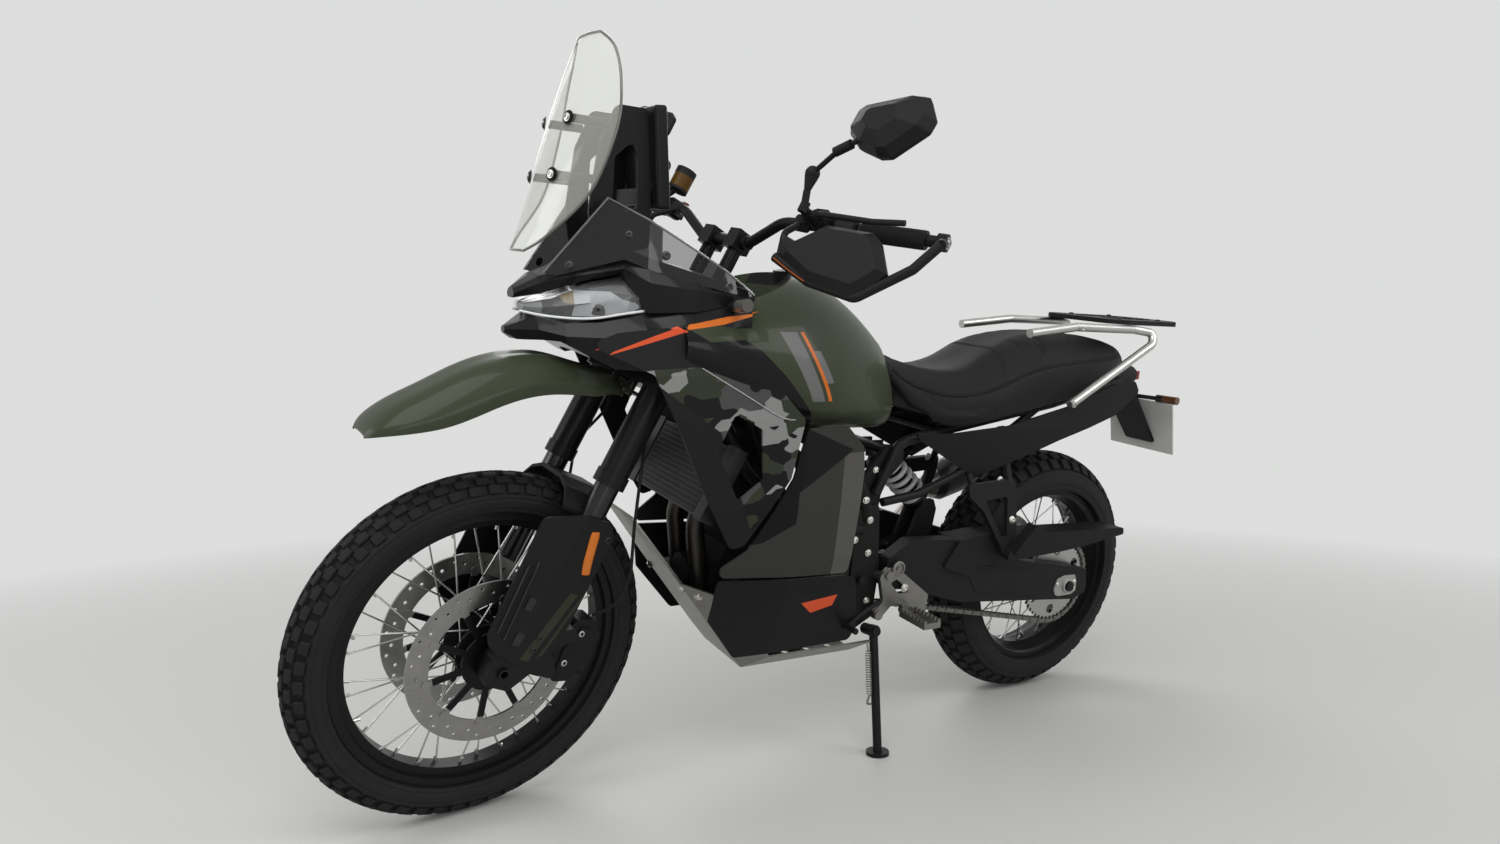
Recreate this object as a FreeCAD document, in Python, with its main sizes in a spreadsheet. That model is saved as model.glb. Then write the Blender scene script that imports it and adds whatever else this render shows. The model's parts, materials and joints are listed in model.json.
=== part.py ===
import FreeCAD, Part
import math
import os
from FreeCAD import Placement, Rotation, Vector

# Adventure motorcycle, parked on its side stand. Millimetres; X forward, Y left, Z up.
# Every piece is drawn on the upright machine, whose origin is on the ground under the
# rear axle, or in the fork's own frame, and is then leaned over as a whole.

doc = FreeCAD.newDocument("AdventureMotorcycle")
sheet = doc.addObject("Spreadsheet::Sheet", "Sizes")

SIZES = {
    # stance
    "wheelbase": 1510,
    "rake": 26.5,
    "trail": 108,
    "lean_parked": 9.4,
    "steer_parked": 7.8,
    # tyres and rims
    "front_tyre_radius": 347.5,
    "front_tyre_width": 90,
    "front_rim_seat": 267.5,
    "front_rim_width": 54,
    "rear_tyre_radius": 333.5,
    "rear_tyre_width": 150,
    "rear_rim_seat": 228.6,
    "rear_rim_width": 108,
    "rim_flange": 10,
    "rim_wall": 5,
    "tyre_wall": 9,
    "bead_gap": 0.3,
    "spoke_diameter": 3.5,
    "spoke_end_gap": 0.95,
    "front_spokes": 36,
    "rear_spokes": 36,
    # hubs, axles and brakes
    "front_axle_diameter": 22,
    "rear_axle_diameter": 25,
    "running_fit": 0.05,
    "seat_gap": 0.3,
    "front_flange_radius": 50,
    "front_flange_spread": 64,
    "rear_flange_radius": 62,
    "rear_flange_spread": 92,
    "front_disc_radius": 160,
    "front_disc_spread": 144,
    "rear_disc_radius": 130,
    "rear_disc_offset": 92,
    "disc_thickness": 5,
    "disc_band": 42,
    "drilling_radius": 3.4,
    "drilling_inset": 10,
    "drilling_pitch": 10.5,
    # fork and steering
    "fork_spacing": 210,
    "fork_setback": 30,
    "outer_tube_diameter": 58,
    "slider_diameter": 48,
    "outer_tube_foot": 388,
    "outer_tube_top": 800,
    "slider_overlap": 90,
    "lower_clamp_foot": 588,
    "lower_clamp_height": 34,
    "upper_clamp_foot": 752,
    "upper_clamp_height": 30,
    "stem_diameter": 30,
    "head_tube_diameter": 66,
    "head_clearance": 3,
    "bar_diameter": 22,
    "bar_height": 938,
    "bar_setback": 22,
    "riser_spacing": 90,
    # chain drive
    "chain_pitch": 15.875,
    "chain_offset": 98,
    "rear_teeth": 45,
    "front_teeth": 17,
    "roller_diameter": 10.16,
    "tooth_clearance": 0.4,
    "sprocket_thickness": 7.2,
    "plate_gap": 9.5,
    "link_plate": 2.4,
    "link_height": 14.5,
    "front_sprocket_x": 770,
    "front_sprocket_z": 430,
    # swingarm and frame
    "pivot_x": 685,
    "pivot_z": 425,
    "pivot_tube_radius": 24,
    "pivot_bolt_radius": 10,
    "arm_inner": 112,
    "arm_thickness": 34,
    "frame_tube_diameter": 36,
    "frame_half_width": 128,
    "pivot_plate_thickness": 20,
    "subframe_tube_diameter": 24,
    "panel_wall": 5,
    "rack_plate_thickness": 12,
    "rack_height": 1024,
    "rack_clearance": 0.8,
    "rail_diameter": 22,
    # side stand
    "stand_pivot_x": 650,
    "stand_pivot_y": 152,
    "stand_pivot_z": 305,
    "stand_foot_x": 657,
    "stand_foot_y": 218,
    "stand_leg_diameter": 20,
    "stand_pin_diameter": 12,
    "stand_fold": 93.8,
}
for row, (alias, value) in enumerate(SIZES.items(), start=1):
    sheet.set(f"A{row}", alias)
    sheet.set(f"B{row}", str(value))
    sheet.setAlias(f"B{row}", alias)
doc.recompute()
size = sheet

ACROSS = Vector(0, 1, 0)
UP = Vector(0, 0, 1)
nodes = {}


# Ways of making shapes

def feature(name, shape):
    """A document object that holds one worked-out shape."""
    item = doc.addObject("Part::Feature", name)
    item.Shape = shape if shape.Placement.isIdentity() else Part.makeCompound([shape])
    return item


def rod(name, start, along, radius, length):
    """Round bar from a point along a direction; radius and length are expressions."""
    bar = doc.addObject("Part::Cylinder", name)
    bar.setExpression("Radius", radius)
    bar.setExpression("Height", length)
    bar.Placement = Placement(start, Rotation(UP, along))
    return bar


def rounded(points, corner, closed):
    """Edges along points, with a tangent arc of one radius at each corner."""
    count = len(points)
    ends = []
    for index, here in enumerate(points):
        if not closed and index in (0, count - 1):
            ends.append((here, None, here))
            continue
        before = points[index - 1] - here
        after = points[(index + 1) % count] - here
        half_turn = (math.pi - before.getAngle(after)) / 2
        shorter = min(before.Length, after.Length)
        radius = min(corner, 0.45 * shorter / max(math.tan(half_turn), 1e-6))
        if radius < 0.01 or half_turn < 0.002:
            ends.append((here, None, here))
            continue
        reach = radius * math.tan(half_turn)
        first = here + before.normalize() * reach
        last = here + after.normalize() * reach
        inward = (first + last) * 0.5 - here
        middle = here + inward.normalize() * (radius / math.cos(half_turn) - radius)
        ends.append((first, middle, last))
    edges = []
    for index, (first, middle, last) in enumerate(ends):
        if middle is not None:
            edges.append(Part.Arc(first, middle, last))
        if closed or index < count - 1:
            following = ends[(index + 1) % count][0]
            if (following - last).Length > 1e-4:
                edges.append(Part.LineSegment(last, following))
    return edges


def flat(points):
    """Points of a plane outline as vectors."""
    return [Vector(first, second, 0) for first, second in points]


def origin_plane(body, role):
    return next(item for item in body.Origin.OriginFeatures if item.Role == role)


def sketched(body, name, role, edges, offset="0"):
    """A sketch on one of the body's own planes, offset along the plane's normal."""
    sketch = body.newObject("Sketcher::SketchObject", name)
    sketch.AttachmentSupport = [(origin_plane(body, role), "")]
    sketch.MapMode = "FlatFace"
    sketch.setExpression("AttachmentOffset.Base.z", offset)
    for edge in edges:
        sketch.addGeometry(edge, False)
    return sketch


def circle(across, up, radius):
    return Part.Circle(Vector(across, up, 0), UP, radius)


def plate(name, role, outline, thickness, offset="0", corner=0, holes=()):
    """A flat piece: a rounded outline with round holes, padded along the plane's normal."""
    body = doc.addObject("PartDesign::Body", name)
    edges = rounded(flat(outline), corner, True)
    edges += [circle(*hole) for hole in holes]
    sketch = sketched(body, name + "Outline", role, edges, offset)
    pad = body.newObject("PartDesign::Pad", name + "Pad")
    pad.Profile = sketch
    pad.setExpression("Length", thickness)
    return body


def ring_plate(name, role, radii, thickness, offset, holes=()):
    """A flat round piece with a round hole, and drillings between its two edges."""
    body = doc.addObject("PartDesign::Body", name)
    rings = [circle(0, 0, radius) for radius in radii]
    sketch = sketched(body, name + "Outline", role, rings + [circle(*hole) for hole in holes], offset)
    pad = body.newObject("PartDesign::Pad", name + "Pad")
    pad.Profile = sketch
    pad.setExpression("Length", thickness)
    return body


def turned(name, edges):
    """A piece turned about the Y axis from a profile in the YZ plane."""
    body = doc.addObject("PartDesign::Body", name)
    sketch = sketched(body, name + "Profile", "YZ_Plane", edges)
    turn = body.newObject("PartDesign::Revolution", name + "Turn")
    turn.Profile = sketch
    turn.ReferenceAxis = (sketch, ["H_Axis"])
    turn.Angle = 360
    return body


def fused(name, pieces):
    whole = doc.addObject("Part::MultiFuse", name)
    whole.Shapes = pieces
    return whole


def cut(name, base, tool):
    rest = doc.addObject("Part::Cut", name)
    rest.Base = base
    rest.Tool = tool
    return rest


def grouped(name, pieces):
    """Several solids of one kind in one node."""
    whole = doc.addObject("Part::Compound", name)
    whole.Links = pieces
    return whole


def mirrored(name, piece):
    """The same piece on the right side."""
    other = doc.addObject("Part::Mirroring", name)
    other.Source = piece
    other.Base = Vector(0, 0, 0)
    other.Normal = ACROSS
    return other


def both_sides(name, piece):
    return grouped(name, [piece, mirrored(name + "Right", piece)])


def loft(wires, ruled=False):
    return Part.makeLoft(wires, True, ruled)


def hoop(points):
    """A smooth closed section through points."""
    curve = Part.BSplineCurve()
    curve.interpolate(Points=points, PeriodicFlag=True)
    return Part.Wire(curve.toShape())


def girth(station, half):
    """A section across the machine at one station, from its left half, top to bottom."""
    left = [Vector(station, across, height) for across, height in half]
    right = [Vector(station, -across, height) for across, height in half[-2:0:-1]]
    return hoop(left + right)


def crowned(station, half):
    """A section with a flat underside and a smooth crown, from its left half, top to foot."""
    left = [Vector(station, across, height) for across, height in half]
    points = left[::-1] + [Vector(station, -across, height) for across, height in half[1:]]
    crown = Part.BSplineCurve()
    crown.interpolate(points)
    return Part.Wire([crown.toShape(), Part.LineSegment(points[-1], points[0]).toShape()])


def polygon(points):
    return Part.makePolygon(list(points) + [points[0]])


def bar_shape(start, end, radius):
    return Part.makeCylinder(radius, (end - start).Length, start, end - start)


def tube(points, radius, bend):
    """A round tube along straight runs joined by tangent arcs."""
    pieces = []
    for edge in rounded(points, bend, False):
        if isinstance(edge, Part.LineSegment):
            pieces.append(bar_shape(edge.StartPoint, edge.EndPoint, radius))
            continue
        bend_line = edge.toShape()
        start, end = bend_line.ParameterRange
        disc = Part.Face(Part.Wire(Part.makeCircle(radius, bend_line.valueAt(start), bend_line.tangentAt(start))))
        pieces.append(disc.revolve(bend_line.Curve.Center, bend_line.Curve.Axis, math.degrees(end - start)))
    return joined(pieces)


def sheet_solid(outer, inner):
    """A curved sheet between two smooth surfaces given as matching grids of points."""
    surfaces = []
    for grid in (outer, inner):
        surface = Part.BSplineSurface()
        surface.interpolate(grid)
        surfaces.append(surface)
    front, back = surfaces
    first_u, last_u, first_v, last_v = front.bounds()
    back_bounds = back.bounds()
    hems = []
    for param, back_param in ((first_u, back_bounds[0]), (last_u, back_bounds[1])):
        hems.append(Part.makeRuledSurface(front.uIso(param).toShape(), back.uIso(back_param).toShape()))
    for param, back_param in ((first_v, back_bounds[2]), (last_v, back_bounds[3])):
        hems.append(Part.makeRuledSurface(front.vIso(param).toShape(), back.vIso(back_param).toShape()))
    shell = Part.makeShell([front.toShape(), back.toShape()] + hems)
    shell.sewShape()
    solid = Part.Solid(Part.Shell(shell.Faces) if shell.ShapeType != "Shell" else shell)
    if solid.Volume < 0:
        solid.reverse()
    return solid


def both(shape):
    """A shape with its mirror image on the right side."""
    return [shape, shape.mirror(Vector(0, 0, 0), ACROSS)]


def joined(shapes):
    whole = shapes[0].fuse(shapes[1:]) if len(shapes) > 1 else shapes[0]
    return whole.removeSplitter()


def facets(station, half):
    """A straight-edged section across the machine at one station, from its left half."""
    left = [Vector(station, across, height) for across, height in half]
    right = [Vector(station, -across, height) for across, height in half[-2:0:-1]]
    return polygon(left + right)


def flank(outline, middle, depth):
    """An outline in side view as a block across the left side."""
    face = Part.Face(Part.Wire([edge.toShape() for edge in outline]))
    return face.extrude(Vector(0, depth, 0)).translated(Vector(0, middle - depth / 2, 0))


def side_outline(points, corner):
    return rounded([Vector(along, 0, height) for along, height in points], corner, True)


def strip(upper, lower, wall):
    """A faceted sheet between two lines of matching points, thickened towards the middle."""
    inward = Vector(0, -wall, 0)
    sections = [polygon([top, low, low + inward, top + inward]) for top, low in zip(upper, lower)]
    return loft(sections, True)


def largest(shape):
    return max(shape.Solids, key=lambda solid: solid.Volume)


def skin(profile, wall, start, end):
    """A sheet that follows a line in cross-section, lofted from one station to another."""
    def section(station, line):
        outer = [Vector(station, across, height) for across, height in line]
        inner = [Vector(station, across - wall, height) for across, height in reversed(line)]
        return polygon(outer + inner)
    return loft([section(start, profile[0]), section(end, profile[1])], True)


# Frames of reference

rake = math.radians(size.rake)
steering_foot = Vector(size.wheelbase + size.trail, 0, 0)
steering_axis = Vector(-math.sin(rake), 0, math.cos(rake))
axle_station = size.trail * math.sin(rake) + size.front_tyre_radius * math.cos(rake)
axle_lead = size.front_tyre_radius * math.sin(rake) - size.trail * math.cos(rake)
fork_frame = Placement(steering_foot + steering_axis * axle_station,
                       Rotation(ACROSS, -size.rake))
steered = fork_frame * Placement(Vector(0, 0, 0), Rotation(UP, size.steer_parked))
front_wheel_frame = steered * Placement(Vector(axle_lead, 0, 0), Rotation())
rear_wheel_frame = Placement(Vector(0, 0, size.rear_tyre_radius), Rotation())


def lowest(frame, radius, width):
    """Height of the lowest point of a round-shouldered tyre on a wheel's frame."""
    spin = frame.Rotation.multVec(ACROSS)
    return frame.Base.z - (radius - width / 2) * math.sqrt(1 - spin.z ** 2) - width / 2


pitch = 0
parked = Placement(Vector(0, 0, 0), Rotation(Vector(1, 0, 0), -size.lean_parked))
for step in range(4):
    front_low = lowest(parked * front_wheel_frame, size.front_tyre_radius, size.front_tyre_width)
    rear_low = lowest(parked * rear_wheel_frame, size.rear_tyre_radius, size.rear_tyre_width)
    pitch += math.degrees((front_low - rear_low) / size.wheelbase)
    turn = Rotation(ACROSS, pitch) * Rotation(Vector(1, 0, 0), -size.lean_parked)
    parked = Placement(parked.Base - Vector(0, 0, rear_low), turn)

FRAMES = {"chassis": Placement(), "steering": steered, "front_wheel": front_wheel_frame,
          "rear_wheel": rear_wheel_frame, "side_stand": Placement()}


def node(label, body, piece):
    """Keep a finished piece under its own name, with the body that carries it."""
    piece.Label = label
    nodes[label] = (piece, body)
    return piece


# Wheels: tyres, spoked rims and hubs, each drawn about its own axle

def tyre_edges(radius, width, seat, rim_width):
    crown = width / 2
    ring = radius - crown
    bead = rim_width / 2
    foot = seat + size.bead_gap
    shoulder = seat + size.rim_flange + 1.5
    outer = math.sqrt(crown ** 2 - (shoulder - ring) ** 2)
    inner_crown = crown - size.tyre_wall
    inner_height = shoulder + 0.8 * size.tyre_wall
    inner = math.sqrt(inner_crown ** 2 - (inner_height - ring) ** 2)
    toe = bead - size.tyre_wall + 1
    heel_height = shoulder + 0.4 * size.tyre_wall
    points = flat([(-bead, foot), (-bead, shoulder), (-outer, shoulder)])
    other = flat([(outer, shoulder), (bead, shoulder), (bead, foot), (toe, foot), (toe, heel_height),
                  (inner, inner_height)])
    last = flat([(-inner, inner_height), (-toe, heel_height), (-toe, foot), (-bead, foot)])
    edges = [Part.LineSegment(a, b) for a, b in zip(points, points[1:])]
    edges.append(Part.Arc(points[-1], Vector(0, radius, 0), other[0]))
    edges += [Part.LineSegment(a, b) for a, b in zip(other, other[1:])]
    edges.append(Part.Arc(other[-1], Vector(0, ring + inner_crown, 0), last[0]))
    edges += [Part.LineSegment(a, b) for a, b in zip(last, last[1:])]
    return edges


def rim_edges(seat, rim_width):
    bead = rim_width / 2
    lip = bead + size.rim_wall - 1
    top = seat + size.rim_flange
    well = seat - 16
    half = [(lip, top), (bead + size.bead_gap, top), (bead + size.bead_gap, seat), (bead - 12, seat), (14, well)]
    under = [(17, well - size.rim_wall), (bead - 8, seat - size.rim_wall - 1), (lip, seat - size.rim_wall)]
    outline = half + [(-across, height) for across, height in reversed(half)]
    outline += [(-across, height) for across, height in reversed(under)]
    outline += under
    return rounded(flat(outline), 0, True)


def spoke(hub_radius, hub_offset, hub_angle, rim_radius, rim_offset, rim_angle):
    """One spoke, from its hole in the hub flange to the well of the rim."""
    start = Vector(hub_radius * math.sin(hub_angle), hub_offset, hub_radius * math.cos(hub_angle))
    end = Vector(rim_radius * math.sin(rim_angle), rim_offset, rim_radius * math.cos(rim_angle))
    return bar_shape(start, end, size.spoke_diameter / 2)


def spokes(count, flange_radius, flange_spread, rim_radius):
    """Crossed spokes: four at a time, two leading and two trailing, left and right."""
    made = []
    step = 2 * math.pi / count
    lead = math.radians(52)
    for index in range(int(count)):
        side = 1 if index % 2 == 0 else -1
        sweep = 1 if (index // 2) % 2 == 0 else -1
        rim_angle = index * step
        hub_offset = side * (flange_spread / 2 + 3 * sweep)
        rim_offset = side * (7 + 2.2 * sweep)
        made.append(spoke(flange_radius, hub_offset, rim_angle + sweep * lead, rim_radius, rim_offset, rim_angle))
    return made


def hub_edges(bore, half):
    outline = half + [(-across, height) for across, height in reversed(half)]
    outline += [(-half[0][0], bore), (half[0][0], bore)]
    return rounded(flat(outline), 0, True)


node("front_tyre", "front_wheel", turned("FrontTyre", tyre_edges(
    size.front_tyre_radius, size.front_tyre_width, size.front_rim_seat, size.front_rim_width)))
node("rear_tyre", "rear_wheel", turned("RearTyre", tyre_edges(
    size.rear_tyre_radius, size.rear_tyre_width, size.rear_rim_seat, size.rear_rim_width)))
node("front_rim", "front_wheel", turned("FrontRim", rim_edges(size.front_rim_seat, size.front_rim_width)))
node("rear_rim", "rear_wheel", turned("RearRim", rim_edges(size.rear_rim_seat, size.rear_rim_width)))

front_hub_end = size.front_disc_spread / 2 - size.disc_thickness / 2
front_bore = size.front_axle_diameter / 2 + size.running_fit
front_flange = size.front_flange_spread / 2
front_hub = turned("FrontHubBarrel", hub_edges(front_bore, [
    (front_hub_end, 40), (front_hub_end - 8, 40), (front_hub_end - 14, 26), (front_flange + 4, 24),
    (front_flange + 4, size.front_flange_radius + 5), (front_flange - 3, size.front_flange_radius + 5),
    (front_flange - 3, 22)]))
front_rim_well = size.front_rim_seat - 16 - size.rim_wall - size.spoke_end_gap
front_spokes = feature("FrontSpokes", Part.makeCompound(spokes(
    size.front_spokes, size.front_flange_radius, size.front_flange_spread, front_rim_well)))
node("front_hub", "front_wheel", fused("FrontHub", [front_hub, front_spokes]))

rear_bore = size.rear_axle_diameter / 2 + size.running_fit
rear_flange = size.rear_flange_spread / 2
rear_disc_face = size.rear_disc_offset - size.disc_thickness / 2
sprocket_face = size.chain_offset - size.sprocket_thickness / 2
rear_hub = turned("RearHubBarrel", rounded(flat([
    (sprocket_face, rear_bore), (sprocket_face, 62), (sprocket_face - 26, 70), (rear_flange + 5, 66),
    (rear_flange + 5, size.rear_flange_radius + 6), (rear_flange - 3, size.rear_flange_radius + 6),
    (rear_flange - 3, 40), (-rear_flange + 3, 40), (-rear_flange + 3, size.rear_flange_radius + 6),
    (-rear_flange - 5, size.rear_flange_radius + 6), (-rear_flange - 5, 40), (-rear_disc_face + 8, 40),
    (-rear_disc_face, 52), (-rear_disc_face, rear_bore)]), 0, True))
rear_rim_well = size.rear_rim_seat - 16 - size.rim_wall - size.spoke_end_gap
rear_spokes = feature("RearSpokes", Part.makeCompound(spokes(
    size.rear_spokes, size.rear_flange_radius, size.rear_flange_spread, rear_rim_well)))
node("rear_hub", "rear_wheel", fused("RearHub", [rear_hub, rear_spokes]))


def brake_disc(name, radius, place, hole, carrier, arms):
    """A rotor on a spider, riveted with round buttons; place is how far left its middle is."""
    middle = f"-({place} + Sizes.disc_thickness / 2)"
    drillings = []
    for index in range(2 * arms):
        for inset, lag in ((size.drilling_inset, 0), (size.drilling_inset + size.drilling_pitch, 0.42)):
            turn = math.pi * (index + lag) / arms
            reach = radius - inset
            drillings.append((reach * math.cos(turn), reach * math.sin(turn), size.drilling_radius))
    rotor = ring_plate(name + "Rotor", "XZ_Plane", (radius, radius - size.disc_band),
                       "Sizes.disc_thickness", middle, drillings)
    spider = ring_plate(name + "Spider", "XZ_Plane", (carrier, hole), "Sizes.disc_thickness", middle)
    pieces = [rotor, spider]
    root = carrier - 4
    tip = radius - size.disc_band + 5
    for index in range(arms):
        angle = 2 * math.pi * index / arms
        arm = Part.makeBox(tip - root, size.disc_thickness, 12,
                           Vector(root, place - size.disc_thickness / 2, -6))
        button = Part.makeCylinder(9, size.disc_thickness + 3,
                                   Vector(tip, place - size.disc_thickness / 2 - 1.5, 0), ACROSS)
        shape = arm.fuse(button)
        shape.rotate(Vector(0, 0, 0), ACROSS, math.degrees(angle))
        pieces.append(feature(f"{name}Arm{index}", shape))
    return fused(name, pieces)


left_disc = brake_disc("FrontDiscLeft", size.front_disc_radius, size.front_disc_spread / 2, 30, 58, 10)
right_disc = brake_disc("FrontDiscRight", size.front_disc_radius, -size.front_disc_spread / 2, 30, 58, 10)
node("front_discs", "front_wheel", grouped("FrontDiscs", [left_disc, right_disc]))
node("rear_disc", "rear_wheel", brake_disc("RearDisc", size.rear_disc_radius, -size.rear_disc_offset, 30, 50, 8))

# Rear sprocket, its teeth just clear of the rollers of the standing chain

rear_pitch_radius = size.chain_pitch / 2 / math.sin(math.pi / size.rear_teeth)
front_pitch_radius = size.chain_pitch / 2 / math.sin(math.pi / size.front_teeth)
tip_radius = rear_pitch_radius - size.roller_diameter / 2 - size.tooth_clearance
root_radius = tip_radius - 6


def toothed(teeth, tip, root):
    points = []
    for index in range(int(teeth)):
        for share, radius in ((-0.34, root), (-0.14, tip), (0.14, tip), (0.34, root)):
            angle = 2 * math.pi * (index + share) / teeth
            points.append((radius * math.cos(angle), radius * math.sin(angle)))
    return points


sprocket_windows = []
for index in range(6):
    angle = math.radians(60 * index + 30)
    sprocket_windows.append((82 * math.cos(angle), 82 * math.sin(angle), 13))
sprocket = plate("RearSprocket", "XZ_Plane", toothed(size.rear_teeth, tip_radius, root_radius),
                 "Sizes.sprocket_thickness", "-(Sizes.chain_offset + Sizes.sprocket_thickness / 2)",
                 holes=[(0, 0, 40)] + sprocket_windows)
node("rear_sprocket", "rear_wheel", sprocket)

# Fork: outer tubes in two clamps, sliders with the axle feet, guards, brace and calipers

leg_x = size.fork_setback
leg_y = size.fork_spacing / 2
slider_radius = size.slider_diameter / 2

outer = rod("OuterTube", Vector(leg_x, leg_y, size.outer_tube_foot), UP,
            "Sizes.outer_tube_diameter / 2", "Sizes.outer_tube_top - Sizes.outer_tube_foot")
collar = rod("WiperCollar", Vector(leg_x, leg_y, size.outer_tube_foot), UP,
             "Sizes.outer_tube_diameter / 2 + 3", "26")
fork_bore = rod("SliderBore", Vector(leg_x, leg_y, size.outer_tube_foot - 1), UP,
                "Sizes.slider_diameter / 2 + Sizes.running_fit", "Sizes.slider_overlap + 2")
outer_tube = cut("OuterTubeBored", fused("OuterTubeCollared", [outer, collar]), fork_bore)
node("fork_outer_tubes", "steering", both_sides("ForkOuterTubes", outer_tube))

foot_outer = leg_y + 22
foot_inner = leg_y - 22
slider = rod("Slider", Vector(leg_x, leg_y, 20), UP, "Sizes.slider_diameter / 2",
             "Sizes.outer_tube_foot + Sizes.slider_overlap - 20")
axle_foot = plate("AxleFoot", "XZ_Plane", [
    (axle_lead - 26, -30), (axle_lead + 26, -30), (axle_lead + 30, 20), (leg_x + 30, 62),
    (leg_x + 28, 92), (leg_x - 28, 92), (leg_x - 72, 120), (leg_x - 84, 100), (leg_x - 46, 60),
    (leg_x - 74, 30), (leg_x - 70, 12), (leg_x - 26, 14)],
    f"{foot_outer - foot_inner}", f"-{foot_outer}", 8)
left_foot = fused("LeftForkFoot", [slider, axle_foot])
right_foot = mirrored("RightForkFoot", left_foot)
axle = rod("FrontAxle", Vector(axle_lead, -leg_y - 28, 0), ACROSS, "Sizes.front_axle_diameter / 2",
           "Sizes.fork_spacing + 56")
spacer_length = foot_inner - front_hub_end - size.seat_gap
left_spacer = rod("LeftSpacer", Vector(axle_lead, front_hub_end + size.seat_gap, 0), ACROSS,
                  "Sizes.front_axle_diameter / 2 + 6", f"{spacer_length}")
right_spacer = mirrored("RightSpacer", left_spacer)
axle_bore = rod("AxleBore", Vector(axle_lead, -leg_y - 29, 0), ACROSS,
                "Sizes.front_axle_diameter / 2 - 4", "Sizes.fork_spacing + 58")
legs = fused("ForkLegsSolid", [left_foot, right_foot, axle, left_spacer, right_spacer])
fork_legs = node("fork_legs", "steering", cut("ForkLegs", legs, axle_bore))
doc.recompute()


def clamp(name, foot, height, reach):
    """A fork clamp: a waisted plate with a pinched boss round each tube."""
    web = plate(name + "Web", "XY_Plane", [
        (leg_x + 34, -leg_y), (leg_x + 34, leg_y), (leg_x - 20, leg_y + 8), (-reach, 44),
        (-reach, -44), (leg_x - 20, -leg_y - 8)], height, foot, 14)
    pieces = [web]
    for side in (1, -1):
        pieces.append(rod(f"{name}Boss{side + 1}", Vector(leg_x, side * leg_y, getattr(size, foot[6:])),
                          UP, "Sizes.outer_tube_diameter / 2 + 9", height))
    return fused(name, pieces)


lower_clamp = clamp("LowerClamp", "Sizes.lower_clamp_foot", "Sizes.lower_clamp_height", 42)
upper_clamp = clamp("UpperClamp", "Sizes.upper_clamp_foot", "Sizes.upper_clamp_height", 38)
stem = rod("Stem", Vector(0, 0, size.lower_clamp_foot), UP, "Sizes.stem_diameter / 2",
           "Sizes.upper_clamp_foot - Sizes.lower_clamp_foot + 46")
risers = [rod(f"Riser{side + 1}", Vector(-size.bar_setback, side * size.riser_spacing / 2,
                                         size.upper_clamp_foot), UP, "15",
              "Sizes.bar_height - Sizes.upper_clamp_foot + 4") for side in (1, -1)]
riser_caps = []
for side in (1, -1):
    cap = Part.makeBox(44, 34, 40, Vector(-size.bar_setback - 22, side * size.riser_spacing / 2 - 17,
                                          size.bar_height - 20))
    riser_caps.append(feature(f"RiserCap{side + 1}", cap))
clamps = fused("ClampsSolid", [lower_clamp, upper_clamp, stem] + risers + riser_caps)
tube_holes = grouped("TubeHoles", [
    rod(f"TubeHole{side + 1}", Vector(leg_x, side * leg_y, size.lower_clamp_foot - 1), UP,
        "Sizes.outer_tube_diameter / 2", "Sizes.upper_clamp_foot + Sizes.upper_clamp_height "
        "- Sizes.lower_clamp_foot + 2") for side in (1, -1)])
bar_hole = rod("BarHole", Vector(-size.bar_setback, -120, size.bar_height), ACROSS, "14.3", "240")
node("triple_clamps", "steering", cut("TripleClamps", cut("ClampsDrilled", clamps, tube_holes), bar_hole))

# Handlebar, a thick centre tapering to the grips, with the controls, guards and mirrors

grip_out = Vector(-115, 455, 1036)
bar_left = [Vector(-size.bar_setback, 0, size.bar_height), Vector(-size.bar_setback, 78, size.bar_height),
            Vector(-6, 170, 985), Vector(-30, 242, 998), grip_out]
bar_right = [Vector(point.x, -point.y, point.z) for point in reversed(bar_left[1:])]
thick_bar = tube([bar_left[0], bar_left[1]], 14.3, 0)
thin_bar = tube(bar_right + bar_left[1:], size.bar_diameter / 2, 60)
thick = joined(both(thick_bar))
node("handlebar", "steering", feature("Handlebar", joined([thin_bar, thick])))

grip_way = (grip_out - bar_left[3]).normalize()
bar_radius = size.bar_diameter / 2


def sleeve(start, length, radius):
    """A collar round the straight end of the bar."""
    begin = bar_left[3] + grip_way * start
    whole = bar_shape(begin, begin + grip_way * length, radius)
    return whole.cut(bar_shape(begin - grip_way, begin + grip_way * (length + 1), bar_radius))


switch = Part.makeBox(44, 46, 42, Vector(-22, 0, -21))
switch = switch.makeFillet(8, switch.Edges)
switch.Placement = Placement(bar_left[3] + grip_way * 34, Rotation(ACROSS, grip_way))
switch = switch.cut(bar_shape(bar_left[3], grip_out, bar_radius))
perch = Part.makeBox(62, 24, 26, Vector(-18, 0, -13))
perch.Placement = Placement(bar_left[3] + grip_way * 7, Rotation(ACROSS, grip_way))
perch = perch.cut(bar_shape(bar_left[3] - grip_way * 5, grip_out, bar_radius))
lever_points = [Vector(12, 258, 996), Vector(14, 292, 1000), Vector(-22, 380, 1014), Vector(-38, 440, 1026)]
lever = tube(lever_points, 5.5, 40)
lever_root = bar_shape(Vector(8, 250, 997), Vector(14, 276, 999), 9)
controls = joined([perch, lever_root, lever])
grip = sleeve(90, 122, 17)
left_controls = [grip, switch, controls]
reservoir = Part.makeCylinder(24, 52, Vector(-6, -244, 1030))
reservoir_neck = bar_shape(Vector(10, -256, 1002), Vector(-4, -246, 1036), 8)
pump = joined([controls.mirror(Vector(0, 0, 0), ACROSS), reservoir, reservoir_neck])
right_controls = [grip.mirror(Vector(0, 0, 0), ACROSS), switch.mirror(Vector(0, 0, 0), ACROSS), pump]
node("bar_controls", "steering", feature("BarControls", Part.makeCompound(left_controls + right_controls)))


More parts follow.
